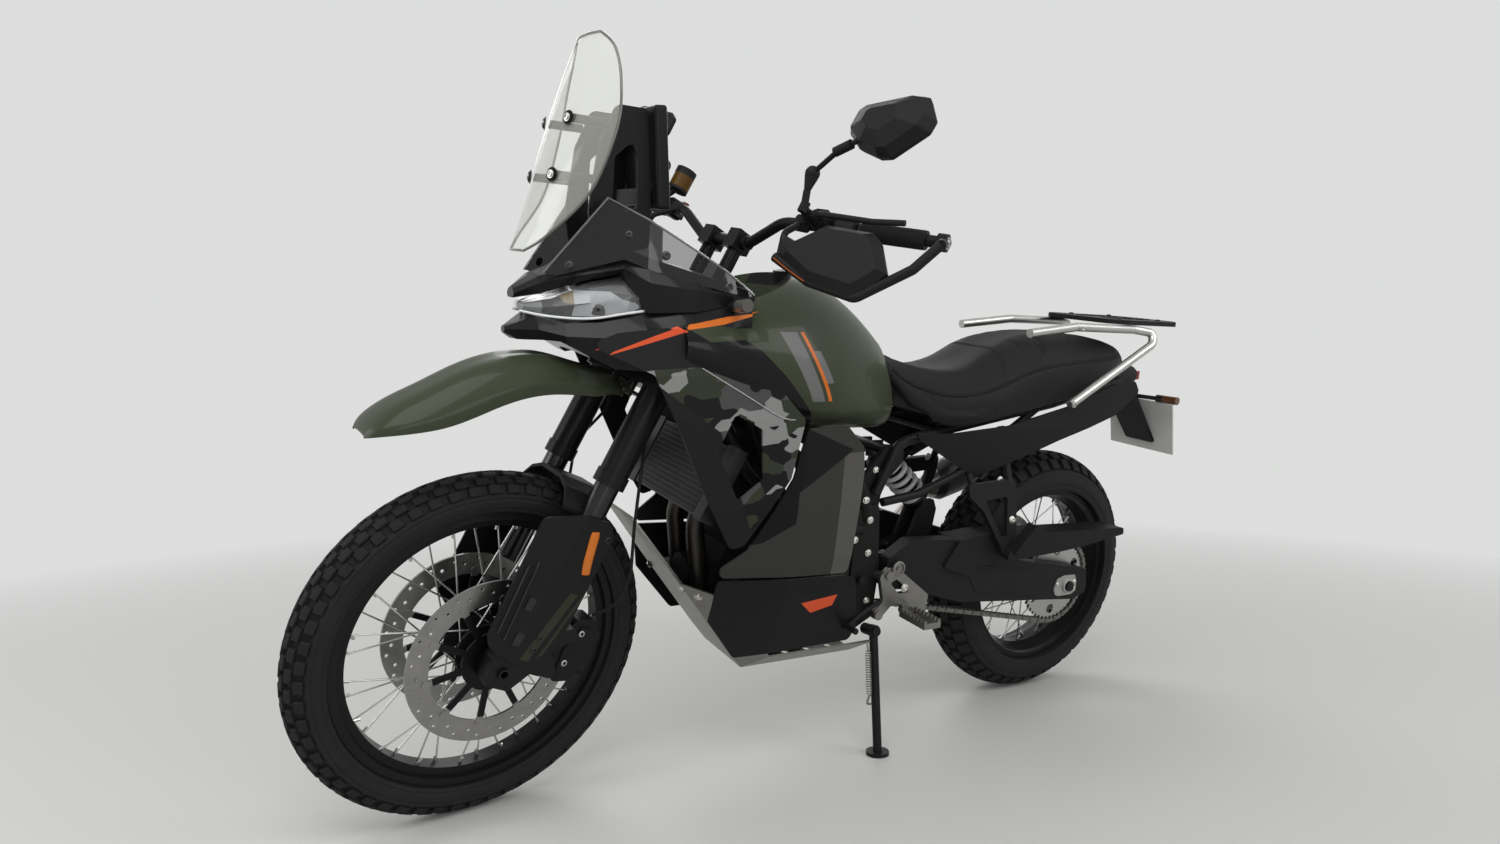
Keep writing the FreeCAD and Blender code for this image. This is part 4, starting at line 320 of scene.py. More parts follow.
engine_paint = finish("engine_paint", (0.012, 0.012, 0.013), 0.55, grain=260, relief=0.0012)
wear(engine_paint, "engine")
core_paint = finish("core_paint", (0.03, 0.03, 0.031), 0.42, metal=0.6)
wear(core_paint, "radiator")
pipe_steel = finish("pipe_steel", (0.30, 0.285, 0.265), 0.30, metal=1.0, mottle=0.22)
silencer_black = side_of(pipe_steel, machine, (silencer_front, 0, 0), (-1, 0, 0))
paint_over(pipe_steel, silencer_black, (0.05, 0.05, 0.052), 0.42)
# The headers are painted near black forward of header_end.
header_darkening = side_of(pipe_steel, machine, (header_end, 0, 0), (1, 0, 0), 0.08)
paint_over(pipe_steel, header_darkening, (0.055, 0.050, 0.046), 0.45)
wear(pipe_steel, "exhaust")


# Tyres: block-treaded rubber on a round carcass, blocks staggered from row to row.
# The carcass is spun about the axle and one pitch of blocks is repeated round it.
def mesh_piece(name, mesh, body, material=None, place=None, crease=35.0):
    """A finished mesh becomes a piece: its place goes into the mesh, and it rides on its body."""
    if place is not None:
        mesh.transform(place)
    if material is not None:
        mesh.materials.clear()
        mesh.materials.append(material)
    mesh.shade_smooth()
    mesh.set_sharp_from_angle(angle=math.radians(crease))
    piece = in_scene(name, mesh)
    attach(piece, body)
    return piece


def skin(shape, rings, lidded=True):
    """Faces between rings of points, and a lid on the last and the first."""
    for under, over in zip(rings, rings[1:]):
        for index in range(len(under)):
            following = (index + 1) % len(under)
            shape.faces.new((under[index], under[following], over[following], over[index]))
    if lidded:
        shape.faces.new(rings[-1])
        shape.faces.new(list(reversed(rings[0])))


def as_mesh(name, shape, outward=True):
    """A shape in the making becomes a mesh, once its faces are turned outwards."""
    if outward:
        bmesh.ops.recalc_face_normals(shape, faces=shape.faces)
    mesh = bpy.data.meshes.new(name)
    shape.to_mesh(mesh)
    shape.free()
    return mesh


def joined_mesh(name, meshes):
    """Several meshes as one."""
    shape = bmesh.new()
    for mesh in meshes:
        shape.from_mesh(mesh)
    return as_mesh(name, shape, False)


def spun(name, profile, segments):
    """A closed profile of (across, height) points turned about the Y axis."""
    shape = bmesh.new()
    rings = []
    for index in range(segments):
        angle = 2 * math.pi * index / segments
        rings.append([shape.verts.new((height * math.sin(angle), across, height * math.cos(angle)))
                      for across, height in profile])
    skin(shape, rings + rings[:1], False)
    return as_mesh(name, shape)


def new_tree(name, inputs):
    """A geometry tree with named inputs, and the sockets that give them."""
    tree = bpy.data.node_groups.new(name, "GeometryNodeTree")
    for label, kind in inputs.items():
        tree.interface.new_socket(label, in_out="INPUT", socket_type="NodeSocket" + kind)
    tree.interface.new_socket("Result", in_out="OUTPUT", socket_type="NodeSocketGeometry")
    return tree, add_node(tree, "NodeGroupInput").outputs


def close_tree(tree, copies, material):
    """The end of a tree: its copies made real and given their finish."""
    real = add_node(tree, "GeometryNodeRealizeInstances", {0: copies.outputs[0]})
    dressed = add_node(tree, "GeometryNodeSetMaterial", {0: real.outputs[0], "Material": material})
    add_node(tree, "NodeGroupOutput", {0: dressed.outputs[0]})


def ring_tree():
    """Copies of a unit, evenly round the Y axis."""
    tree, given = new_tree("round_the_axle", {"Unit": "Geometry", "Count": "Int", "Finish": "Material"})
    points = add_node(tree, "GeometryNodePoints", {"Count": given["Count"]})
    order = add_node(tree, "GeometryNodeInputIndex")
    share = add_node(tree, "ShaderNodeMath", {0: order.outputs[0], 1: given["Count"]}, "DIVIDE")
    turn = add_node(tree, "ShaderNodeMath", {0: share.outputs[0], 1: 2 * math.pi}, "MULTIPLY")
    angles = add_node(tree, "ShaderNodeCombineXYZ", {"Y": turn.outputs[0]})
    rotation = add_node(tree, "FunctionNodeEulerToRotation", {0: angles.outputs[0]})
    copies = add_node(tree, "GeometryNodeInstanceOnPoints",
                      {"Points": points.outputs[0], "Instance": given["Unit"],
                       "Rotation": rotation.outputs[0]})
    close_tree(tree, copies, given["Finish"])
    return tree


def applied(piece):
    """The plain mesh that an object's modifiers make, which are then removed."""
    graph = bpy.context.evaluated_depsgraph_get()
    mesh = bpy.data.meshes.new_from_object(piece.evaluated_get(graph))
    piece.modifiers.clear()
    return mesh


def grown(name, base_mesh, tree, **values):
    """The plain mesh that a geometry tree makes of a base mesh, with the tree's inputs set by name."""
    seed = in_scene(name + "_seed", base_mesh)
    maker = seed.modifiers.new("maker", "NODES")
    maker.node_group = tree
    for socket in tree.interface.items_tree:
        if socket.in_out == "INPUT" and socket.name in values:
            maker[socket.identifier] = values[socket.name]
    mesh = applied(seed)
    bpy.data.objects.remove(seed)
    mesh.name = name
    return mesh


axle_ring = ring_tree()
tyre_rubber = finish("tyre_rubber", (0.017, 0.0175, 0.018), 0.68, mottle=0.25, patch=14, grain=420,
                     relief=0.0008)
block_steps = 3
block_edge_cut = 0.0012
block_root = 0.002
block_flare = 0.0016
tyre_wall = 0.009
bead_height = 0.0115
bead_gap = 0.0003
wall_steps = 12
wall_ridges = (2, 9)
inner_steps = 6
carcass_segments = 168


def tread_blocks(name, ring, crown, depth, rows, pitch):
    """One pitch of tread: each row gives its section angles, its lag and its length, in pitches."""
    shape = bmesh.new()
    stations = [(crown - depth - block_root, block_flare), (crown - block_edge_cut, 0),
                (crown, -block_edge_cut)]
    for inner, outer, lag, length in rows:
        for side in (1, -1):
            shift = lag if side > 0 else lag + 0.5
            start = (shift - length / 2) * pitch
            end = (shift + length / 2) * pitch
            levels = []
            for reach, spread in stations:
                across = spread / crown
                around = spread / (ring + crown)
                grid = []
                for step in range(block_steps + 1):
                    section = side * (inner - across + (outer - inner + 2 * across) * step / block_steps)
                    height = ring + reach * math.cos(section)
                    out = reach * math.sin(section)
                    grid.append([shape.verts.new((height * math.sin(turn), out, height * math.cos(turn)))
                                 for turn in (start - around, end + around)])
                levels.append(grid)
            low, top = levels[0], levels[-1]
            for step in range(block_steps):
                shape.faces.new((top[step][0], top[step][1], top[step + 1][1], top[step + 1][0]))
                shape.faces.new((low[step][0], low[step + 1][0], low[step + 1][1], low[step][1]))
            for under, over in zip(levels, levels[1:]):
                for step in range(block_steps):
                    for edge in (0, 1):
                        shape.faces.new((under[step][edge], under[step + 1][edge], over[step + 1][edge],
                                         over[step][edge]))
                for end_step in (0, block_steps):
                    shape.faces.new((under[end_step][0], under[end_step][1], over[end_step][1],
                                     over[end_step][0]))
    return as_mesh(name, shape)


def tyre(label, body, place, radius, width, seat, rim_width, depth, rows, count):
    """Carcass and tread of one tyre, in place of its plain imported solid."""
    crown = width / 2
    ring = radius - crown
    tread_end = rows[-1][1]
    shoulder = seat + bead_height
    last = math.acos((shoulder - ring) / crown)
    stations = [(0.0, -depth), (0.25, -depth), (0.5, -depth), (0.75, -depth), (0.96, -depth), (1.06, -0.002),
                (1.12, -0.0005)]
    outer = [(share * tread_end, crown + sink) for share, sink in stations]
    wall_start = tread_end * stations[-1][0]
    for step in range(1, wall_steps + 1):
        ridge = -0.0014 if step in wall_ridges else 0.0
        outer.append((wall_start + (last - wall_start) * step / wall_steps, crown - 0.0006 + ridge))
    half = [(reach * math.sin(angle), ring + reach * math.cos(angle)) for angle, reach in outer]
    bead = rim_width / 2
    half += [(bead, shoulder), (bead, seat + bead_gap), (bead - tyre_wall, seat + bead_gap),
             (bead - tyre_wall, shoulder + 0.004)]
    inner_reach = crown - tyre_wall - depth
    for step in range(inner_steps):
        angle = (last - 0.25) * (1 - step / (inner_steps - 1)) if step < inner_steps - 1 else 0.0
        half.append((inner_reach * math.sin(angle), ring + inner_reach * math.cos(angle)))
    profile = half + [(-across, height) for across, height in reversed(half) if across > 0.0001]
    carcass = spun(label + "_carcass", profile, carcass_segments)
    one_pitch = tread_blocks(label + "_pitch", ring, crown, depth, rows, 2 * math.pi / count)
    blocks = grown(label + "_tread", one_pitch, axle_ring, Count=count, Finish=tyre_rubber)
    whole = joined_mesh(label + "_treaded", [carcass, blocks])
    piece = mesh_piece(label + "_treaded", whole, body, tyre_rubber, place, 30)
    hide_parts(label)


def tread_rows(*rows):
    """Rows of blocks, with their section angles turned from degrees."""
    return [(math.radians(inner), math.radians(outer), lag, length) for inner, outer, lag, length in rows]


tyre("front_tyre", "front_wheel", front_wheel, front_radius, 0.090, 0.2675, 0.054, 0.0075,
     tread_rows((2, 19, 0, 0.66), (24, 43, 0.5, 0.62), (48, 70, 0.0, 0.6)), 56)
tyre("rear_tyre", "rear_wheel", rear_wheel, rear_radius, 0.150, 0.2286, 0.108, 0.0085,
     tread_rows((1.5, 12, 0, 0.7), (15.5, 31, 0.5, 0.64), (35, 58, 0.0, 0.62)), 46)


# Rims, hubs and spokes: black anodised rims laced to black hubs with bright spokes.
# Each spoke ends in a nipple that stands out of the rim's well.
def away_from(material, place):
    """Distance from the Y axis of a wheel's frame, in metres."""
    tree = material.node_tree
    axle = place.to_3x3() @ Vector((0, 1, 0))
    arm = add_node(tree, "ShaderNodeVectorMath", {0: reading(material), 1: place.translation}, "SUBTRACT")
    across = add_node(tree, "ShaderNodeVectorMath", {0: arm.outputs[0], 1: axle}, "CROSS_PRODUCT")
    return add_node(tree, "ShaderNodeVectorMath", {0: across.outputs[0]}, "LENGTH").outputs["Value"]


spoke_bright = (0.50, 0.50, 0.49)
spoke_count = 36
nipple_radius = 0.0034
nipple_tip_radius = 0.0026
nipple_length = 0.016
well_depth = 0.021
flange_edge = 0.0065
rim_black = finish("rim_black", (0.013, 0.013, 0.013), 0.30, metal=0.2)
wear(rim_black, "front_rim", "rear_rim")
nipple_steel = finish("nipple_steel", (0.45, 0.45, 0.44), 0.28, metal=1.0)
wheel_list = [("front", "front_wheel", front_wheel, 0.2675, 0.050, 0.064),
              ("rear", "rear_wheel", rear_wheel, 0.2286, 0.062, 0.092)]
for side_name, body, place, seat, flange, flange_spread in wheel_list:
    hub_paint = finish(side_name + "_hub_paint", (0.013, 0.013, 0.014), 0.36)
    beyond_flange = sum_of(hub_paint, "GREATER_THAN", away_from(hub_paint, place), flange + flange_edge)
    paint_over(hub_paint, beyond_flange, spoke_bright, 0.22)
    hub_shader = hub_paint.node_tree.nodes["Principled BSDF"]
    hub_paint.node_tree.links.new(beyond_flange, hub_shader.inputs["Metallic"])
    wear(hub_paint, side_name + "_hub")
    unit = bmesh.new()
    well = seat - well_depth
    for share, across, lean_out in ((0.0, 0.006, 1), (1.0, -0.006, -1)):
        foot = Vector((0, across, well + 0.004))
        aim = Vector((0.05 * lean_out, lean_out * (flange_spread / 2 - 0.006), flange - well)).normalized()
        cone = bmesh.ops.create_cone(unit, cap_ends=True, segments=8, radius1=nipple_radius,
                                     radius2=nipple_tip_radius, depth=nipple_length)
        turn = aim.to_track_quat("Z", "Y").to_matrix().to_4x4()
        lag = Matrix.Rotation(2 * math.pi / spoke_count * share, 4, "Y")
        bmesh.ops.transform(unit, matrix=lag @ Matrix.Translation(foot + aim * nipple_length / 2) @ turn,
                            verts=cone["verts"])
    unit_mesh = as_mesh(side_name + "_nipple_pair", unit, False)
    nipples = grown(side_name + "_nipples", unit_mesh, axle_ring, Count=spoke_count // 2, Finish=nipple_steel)
    mesh_piece(side_name + "_nipples", nipples, body, nipple_steel, place)


# Brake discs: ground steel rings with round drillings, riveted to black spiders.
# The steel ring is bright, and everything inside its inner edge is painted.
disc_inner = {"front": 0.118, "rear": 0.088}
disc_nodes = {"front": "front_discs", "rear": "rear_disc"}
spider_gap = 0.006
for side_name, body, place, seat, flange, flange_spread in wheel_list:
    disc_steel = finish(side_name + "_disc_steel", (0.27, 0.265, 0.26), 0.33, metal=1.0, mottle=0.2, patch=40)
    spider = sum_of(disc_steel, "LESS_THAN", away_from(disc_steel, place), disc_inner[side_name] - spider_gap)
    paint_over(disc_steel, spider, (0.018, 0.018, 0.019), 0.4)
    wear(disc_steel, disc_nodes[side_name])


# Final drive: a bare steel rear sprocket and a roller chain of riveted plates.
# The links follow the loop round both sprockets, inner and outer plates by turns.
sprocket_steel = finish("sprocket_steel", (0.42, 0.42, 0.41), 0.30, metal=1.0)
wear(sprocket_steel, "rear_sprocket", "front_sprocket")
chain_pitch = 0.015875
chain_offset = Vector((0, 0.098, 0))
rear_teeth = 45
front_teeth = 17
drive_spot = Vector((0.770, 0, 0.430))
rear_spot = Vector((0, 0, rear_radius))
rear_pitch = chain_pitch / 2 / math.sin(math.pi / rear_teeth)
front_pitch = chain_pitch / 2 / math.sin(math.pi / front_teeth)
drive_way = drive_spot - rear_spot
drive_tilt = math.asin((rear_pitch - front_pitch) / drive_way.length)
straight_run = math.sqrt(drive_way.length ** 2 - (rear_pitch - front_pitch) ** 2)
front_wrap = math.pi - 2 * drive_tilt
rear_wrap = math.pi + 2 * drive_tilt
chain_length = 2 * straight_run + front_wrap * front_pitch + rear_wrap * rear_pitch
upper_angle = math.atan2(drive_way.z, drive_way.x) + math.pi / 2 - drive_tilt
lower_angle = upper_angle - front_wrap


def on_sprocket(centre, radius, angle):
    """A point of a sprocket's pitch circle."""
    return centre + Vector((math.cos(angle), 0, math.sin(angle))) * radius


def loop_point(travel):
    """The place on the chain's pitch line after some travel from the top of the rear sprocket."""
    travel %= chain_length
    if travel < straight_run:
        begin = on_sprocket(rear_spot, rear_pitch, upper_angle)
        return begin.lerp(on_sprocket(drive_spot, front_pitch, upper_angle), travel / straight_run)
    travel -= straight_run
    if travel < front_wrap * front_pitch:
        return on_sprocket(drive_spot, front_pitch, upper_angle - travel / front_pitch)
    travel -= front_wrap * front_pitch
    if travel < straight_run:
        begin = on_sprocket(drive_spot, front_pitch, lower_angle)
        return begin.lerp(on_sprocket(rear_spot, rear_pitch, lower_angle), travel / straight_run)
    return on_sprocket(rear_spot, rear_pitch, lower_angle - (travel - straight_run) / rear_pitch)


def link_mesh(name, spread, thickness=0.0018, roller=0.0050):
    """A pair of waisted plates, with the roller and the pin at their rear end."""
    shape = bmesh.new()
    waist = 0.0046
    end_radius = 0.0070
    pin_radius = 0.0025
    outline = []
    for centre, begin in ((chain_pitch, -60), (0, 120)):
        for step in range(5):
            angle = math.radians(begin + step * 30)
            outline.append((centre + end_radius * math.cos(angle), end_radius * math.sin(angle)))
        outline.append((chain_pitch / 2, waist if begin < 0 else -waist))
    for side in (1, -1):
        skin(shape, [[shape.verts.new((ahead, side * reach, up)) for ahead, up in outline]
                     for reach in (spread, spread + thickness)])
    sideways = Matrix.Rotation(math.pi / 2, 4, "X")
    bmesh.ops.create_cone(shape, cap_ends=True, segments=10, radius1=roller, radius2=roller,
                          depth=2 * spread + 0.0004, matrix=sideways)
    bmesh.ops.create_cone(shape, cap_ends=True, segments=8, radius1=pin_radius, radius2=pin_radius,
                          depth=2 * (spread + thickness) + 0.002, matrix=sideways)
    return as_mesh(name, shape)


def spots_mesh(name, spots):
    """Loose points, each with a turn for what is set on it."""
    mesh = bpy.data.meshes.new(name)
    mesh.from_pydata([tuple(point) for point, turn in spots], [], [])
    turns = mesh.attributes.new("turn", "FLOAT_VECTOR", "POINT").data
    for index, (point, turn) in enumerate(spots):
        turns[index].vector = turn
    return mesh


def spots_tree():
    """Copies of a unit object on spots, each turned by its spot's attribute."""
    tree, given = new_tree("on_spots", {"Spots": "Geometry", "Unit": "Object", "Finish": "Material"})
    points = add_node(tree, "GeometryNodeMeshToPoints", {"Mesh": given["Spots"]})
    source = add_node(tree, "GeometryNodeObjectInfo", {"Object": given["Unit"]})
    turn = add_node(tree, "GeometryNodeInputNamedAttribute", {"Name": "turn"}, data_type="FLOAT_VECTOR")
    rotation = add_node(tree, "FunctionNodeEulerToRotation", {0: turn.outputs["Attribute"]})
    copies = add_node(tree, "GeometryNodeInstanceOnPoints",
                      {"Points": points.outputs[0], "Instance": source.outputs["Geometry"],
                       "Rotation": rotation.outputs[0]})
    close_tree(tree, copies, given["Finish"])
    return tree


on_spots = spots_tree()


def set_on(name, spots, unit_mesh, material):
    """A unit mesh set on every (point, turn) spot, as one plain mesh."""
    unit = in_scene(name + "_unit", unit_mesh)
    mesh = grown(name, spots_mesh(name + "_spots", spots), on_spots, Unit=unit, Finish=material)
    bpy.data.objects.remove(unit)
    return mesh


link_count = 2 * round(chain_length / chain_pitch / 2)
link_travel = chain_length / link_count
chain_steel = finish("chain_steel", (0.17, 0.165, 0.155), 0.38, metal=0.9, mottle=0.3, patch=60)
spot_sets = ([], [])
for index in range(link_count):
    begin = loop_point(index * link_travel)
    chord = loop_point((index + 1) * link_travel) - begin
    spot_sets[index % 2].append((begin + chain_offset, (0, -math.atan2(chord.z, chord.x), 0)))
inner_links = set_on("inner_links", spot_sets[0], link_mesh("inner_link", 0.0047), chain_steel)
outer_links = set_on("outer_links", spot_sets[1], link_mesh("outer_link", 0.0066), chain_steel)
drive_chain = mesh_piece("drive_chain", joined_mesh("drive_chain", [inner_links, outer_links]), "chassis",
                         chain_steel, machine, 40)
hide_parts("chain")


# Fork: black anodised outer tubes over dark sliders, in two clamps, with moulded guards on the feet.
# The guards carry an olive stripe and a long amber reflector, and are held by black screws.
screw_sides = 14


def screw_mesh(name, head_radius, head_height):
    """A socket screw along +Z: a washer face, a round head with a bevelled rim and a hexagon socket."""
    shape = bmesh.new()
    washer = head_radius * 1.35
    rounds = [(0.0, washer), (0.0008, washer), (0.0009, head_radius), (head_height - 0.0006, head_radius),
              (head_height, head_radius * 0.86), (head_height, head_radius * 0.52),
              (head_height * 0.45, head_radius * 0.48)]
    turns = [2 * math.pi * index / screw_sides for index in range(screw_sides)]
    skin(shape, [[shape.verts.new((radius * math.cos(turn), radius * math.sin(turn), height))
                  for turn in turns]
                 for height, radius in rounds])
    return as_mesh(name, shape)


def facing(aim):
    """The turn that points a unit's Z along a direction."""
    return tuple(Vector(aim).to_track_quat("Z", "Y").to_euler())


def screws(name, body, place, spots, material, head_radius, head_height=0.004):
    """Screws at (point, direction) spots of a frame, as one piece; the points are in millimetres."""
    unit = screw_mesh(name + "_screw", head_radius, head_height)
    mesh = set_on(name, [(Vector(point) / 1000, facing(aim)) for point, aim in spots], unit, material)
    return mesh_piece(name, mesh, body, material, place, 40)


def mirrored_spots(spots):
    """The same (point, direction) spots on both sides."""
    return spots + [((point[0], -point[1], point[2]), (aim[0], -aim[1], aim[2])) for point, aim in spots]


def eased(values, index, share):
    """A smooth value between two of a list, from its neighbours."""
    before = values[max(0, index - 1)]
    start = values[index]
    end = values[index + 1]
    after = values[min(len(values) - 1, index + 2)]
    return 0.5 * (2 * start + (end - before) * share + (2 * before - 5 * start + 4 * end - after) * share ** 2
                  + (3 * start - before - 3 * end + after) * share ** 3)


def swept(name, points, radius, sides=10, smooth=6):
    """A closed round bar along points in metres, eased between them; the radius may differ at each point."""
    knots = [Vector(point) for point in points]
    sizes = radius if isinstance(radius, list) else [radius] * len(knots)
    line = []
    radii = []
    for index in range(len(knots) - 1):
        for step in range(smooth):
            share = step / smooth
            line.append(eased(knots, index, share))
            radii.append(sizes[index] + (sizes[index + 1] - sizes[index]) * share)
    line.append(knots[-1])
    radii.append(sizes[-1])
    shape = bmesh.new()
    across = (line[1] - line[0]).orthogonal().normalized()
    turns = [2 * math.pi * side / sides for side in range(sides)]
    rings = []
    for index, spot in enumerate(line):
        way = (line[min(index + 1, len(line) - 1)] - line[max(index - 1, 0)]).normalized()
        across = (across - way * across.dot(way)).normalized()
        third = way.cross(across)
        size = radii[index]
        rings.append([shape.verts.new(spot + size * (math.cos(turn) * across + math.sin(turn) * third))
                      for turn in turns])
    skin(shape, rings)
    return as_mesh(name, shape)


def rounded(shape, edge):
    """Round over every edge of a shape."""
    bmesh.ops.bevel(shape, geom=shape.edges[:], offset=edge, segments=2, affect="EDGES")


def block(name, low, high, edge=0.002, place=None):
    """A box between two corners in metres, its edges rounded over."""
    shape = bmesh.new()
    bmesh.ops.create_cube(shape, size=1.0)
    middle = (Vector(low) + Vector(high)) / 2
    span = Vector(high) - Vector(low)
    bmesh.ops.transform(shape, verts=shape.verts,
                        matrix=Matrix.Translation(middle) @ Matrix.Diagonal((span.x, span.y, span.z, 1)))
    rounded(shape, edge)
    mesh = as_mesh(name, shape, False)
    if place is not None:
        mesh.transform(place)
    return mesh


def both_sides(mesh):
    """A mesh with its image across the machine's middle, in one."""
    other = mesh.copy()
    other.transform(Matrix.Diagonal((1, -1, 1, 1)))
    other.flip_normals()
    return joined_mesh(mesh.name + "_pair", [mesh, other])


def slab(name, outline, place, thickness, edge):
    """A flat plate from an outline of (across, up) points in metres, thick along +Z of its place."""
    shape = bmesh.new()
    skin(shape, [[shape.verts.new((across, up, height)) for across, up in outline]
                 for height in (0, thickness)])
    bmesh.ops.recalc_face_normals(shape, faces=shape.faces)
    rounded(shape, edge)
    mesh = as_mesh(name, shape, False)
    mesh.transform(place)
    return mesh


def upright(point, normal):
    """A place at a point in millimetres, whose Z is a normal and whose Y points up."""
    out = Vector(normal).normalized()
    across = Vector((0, 0, 1)).cross(out).normalized()
    return axes_at(Vector(point) / 1000, across, out.cross(across), out)


left_out = (0, 1, 0)
rear_out = (-1, 0, 0)
screw_steel = finish("screw_steel", (0.42, 0.42, 0.41), 0.28, metal=1.0)
screw_black = finish("screw_black", (0.022, 0.022, 0.023), 0.3, metal=0.5)
fork_black = finish("fork_black", (0.010, 0.010, 0.011), 0.26)
wear(fork_black, "fork_outer_tubes", "triple_clamps", "rear_caliper")
slider_dark = finish("slider_dark", (0.030, 0.030, 0.031), 0.20, metal=0.8)
foot_black = side_of(slider_dark, fork, (0, 0, 0.125), (0, 0, -1))
paint_over(slider_dark, foot_black, (0.016, 0.016, 0.017), 0.42)
wear(slider_dark, "fork_legs")
olive_band = (0.030, 0.033, 0.022)
opening_shade = (0.003, 0.003, 0.003)
guard_plastic = finish("guard_plastic", (0.011, 0.011, 0.011), 0.48, grain=900, relief=0.0006)
guard_bands = [[(30, 36), (48, 36), (14, 180), (-4, 180)], [(10, 36), (18, 36), (-14, 180), (-19, 180)]]
guard_vents = [[(74, 128), (86, 128), (84, 146), (72, 146)], [(62, 60), (74, 60), (76, 80), (64, 80)]]
# The vents are painted near black: painted shade in their openings.
for outlines, tone, gloss in ((guard_bands, olive_band, 0.45), (guard_vents, opening_shade, 0.6)):
    masks = [in_shape(guard_plastic, outline, fork) for outline in outlines]
    paint_over(guard_plastic, either(guard_plastic, *masks), tone, gloss)
wear(guard_plastic, "fork_guards")
hose_rubber = finish("hose_rubber", (0.013, 0.013, 0.013), 0.55)
wear(hose_rubber, "brake_hoses")
caliper_black = finish("caliper_black", (0.011, 0.011, 0.012), 0.34, grain=260, relief=0.0008)
wear(caliper_black, "front_calipers")

amber_lens = finish("amber_lens", (0.52, 0.135, 0.008), 0.16, mottle=0.05, coat=0.6)
guard_face = 0.1375
reflector_flatness = 0.42
reflector_back = 0.0012
reflector_line = [(lead, guard_face, station)
                  for lead, station in ((0.004, 0.222), (0.012, 0.245), (0.024, 0.292), (0.027, 0.302))]
reflector = swept("reflector", reflector_line, [0.0085, 0.0095, 0.0095, 0.0075], 16, 5)
for point in reflector.vertices:
    point.co.y = guard_face + max(-reflector_back, reflector_flatness * (point.co.y - guard_face))
mesh_piece("fork_reflectors", both_sides(reflector), "steering", amber_lens, fork, 40)
rib_meshes = []
for line in (((112, 70), (118, 200)), ((96, 62), (104, 214))):
    rib_meshes.append(swept("guard_rib", [(lead / 1000, 0.1275 + (140 - lead) * 0.000185, station / 1000)
                                          for lead, station in line], 0.0016, 8, 2))
for lead, station in ((0.079, 0.137), (0.069, 0.070)):
    base = 0.1372 - max(0, lead - 0.060) * 0.19
    rib_meshes.append(block("vent_lip", (lead - 0.009, base - 0.001, station - 0.013),
                            (lead + 0.009, base + 0.0012, station + 0.013), 0.001))
guard_ribs = joined_mesh("guard_ribs", rib_meshes)
mesh_piece("guard_ribs", both_sides(guard_ribs), "steering", screw_black, fork, 40)
guard_screws = [((30, 135.5, 60), left_out), ((30, 135.5, 84), left_out), ((-8, 132, 296), left_out)]
screws("fork_guard_screws", "steering", fork, mirrored_spots(guard_screws), screw_black, 0.006)
clamp_screws = [((-1.5, 93, station), (-1, 0.3, 0)) for station in (580, 596, 746, 758)]
screws("clamp_screws", "steering", fork, mirrored_spots(clamp_screws), screw_black, 0.0045)
caliper_screws = [((-74, 97.2, 40), left_out), ((-80, 97.2, 104), left_out)]
screws("caliper_screws", "steering", fork, mirrored_spots(caliper_screws), screw_steel,
       0.0065)
bridge = [(-62, 22), (-56, 66), (-72, 116), (-96, 122), (-112, 100), (-114, 62), (-96, 24), (-74, 16)]
bridge_mesh = slab("caliper_bridge", [(-lead / 1000, station / 1000) for lead, station in bridge],
                   upright((0, 96.5, 0), left_out), 0.004, 0.0018)
mesh_piece("caliper_bridges", both_sides(bridge_mesh), "steering", caliper_black, fork, 40)


# Handlebar controls: ribbed rubber grips, switch pods with small keys, and lever perches.
# The perches carry the mirror stems; the clamps here fill the space between bar and stem.
bar_black = finish("bar_black", (0.010, 0.010, 0.011), 0.34)
wear(bar_black, "handlebar")
grained_black = finish("grained_black", (0.011, 0.011, 0.011), 0.50, grain=900, relief=0.0006)
wear(grained_black, "hand_guards", "mirrors")
fluid_amber = (0.085, 0.040, 0.006)
control_black = finish("control_black", (0.011, 0.011, 0.012), 0.48, grain=900, relief=0.0006)
fluid_faces = [((0, -0.2675, 0), (0, 1, 0)), ((0, -0.219, 0), (0, -1, 0)), ((0, 0, 1.036), (0, 0, 1)),
               ((0, 0, 1.066), (0, 0, -1))]
fluid = both_of(control_black, *[side_of(control_black, fork, point, normal)
                                 for point, normal in fluid_faces])
paint_over(control_black, fluid, fluid_amber, 0.10)
wear(control_black, "bar_controls")
bar_bend = Vector((-30, 242, 998))
grip_end = Vector((-115, 455, 1036))
grip_way = (grip_end - bar_bend).normalized()
grip_ahead = grip_way.cross(Vector((0, 0, 1))).normalized()
grip_over = grip_ahead.cross(grip_way)
grip_rubber = finish("grip_rubber", (0.012, 0.012, 0.012), 0.72, grain=600, relief=0.0008)
grip_offset = 90
pod_offset = 34
cap_offset = 18.2
grip_profile = [(0.0, 0.0168), (0.0, 0.0200), (0.004, 0.0204), (0.006, 0.0176)]
rib_count = 22
rib_pitch = 0.005
for rib in range(rib_count):
    base = 0.008 + rib * rib_pitch
    grip_profile += [(base, 0.0170), (base + 0.001, 0.0178), (base + 0.003, 0.0178), (base + 0.004, 0.0170)]
grip_profile += [(0.1195, 0.0176), (0.1215, 0.0170), (0.1215, 0.0166)]
grip_mesh = spun("grip", grip_profile, 36)
grip_mesh.transform(axes_at((bar_bend + grip_way * grip_offset) / 1000, grip_ahead, grip_way, grip_over))
mesh_piece("grips", both_sides(grip_mesh), "steering", grip_rubber, fork, 30)
perch_meshes = [block("perch_clamp", (-0.020, 0.246, 0.984), (0.026, 0.262, 1.006), 0.004),
                swept("perch_arm", [(0.018, 0.254, 0.998), (0.030, 0.254, 1.000)], 0.0085, 14, 2),
                swept("perch_nut", [(0.030, 0.254, 0.992), (0.030, 0.254, 1.012)], 0.0098, 6, 1)]
mesh_piece("mirror_perches", both_sides(joined_mesh("mirror_perch", perch_meshes)), "steering", bar_black,
           fork, 35)
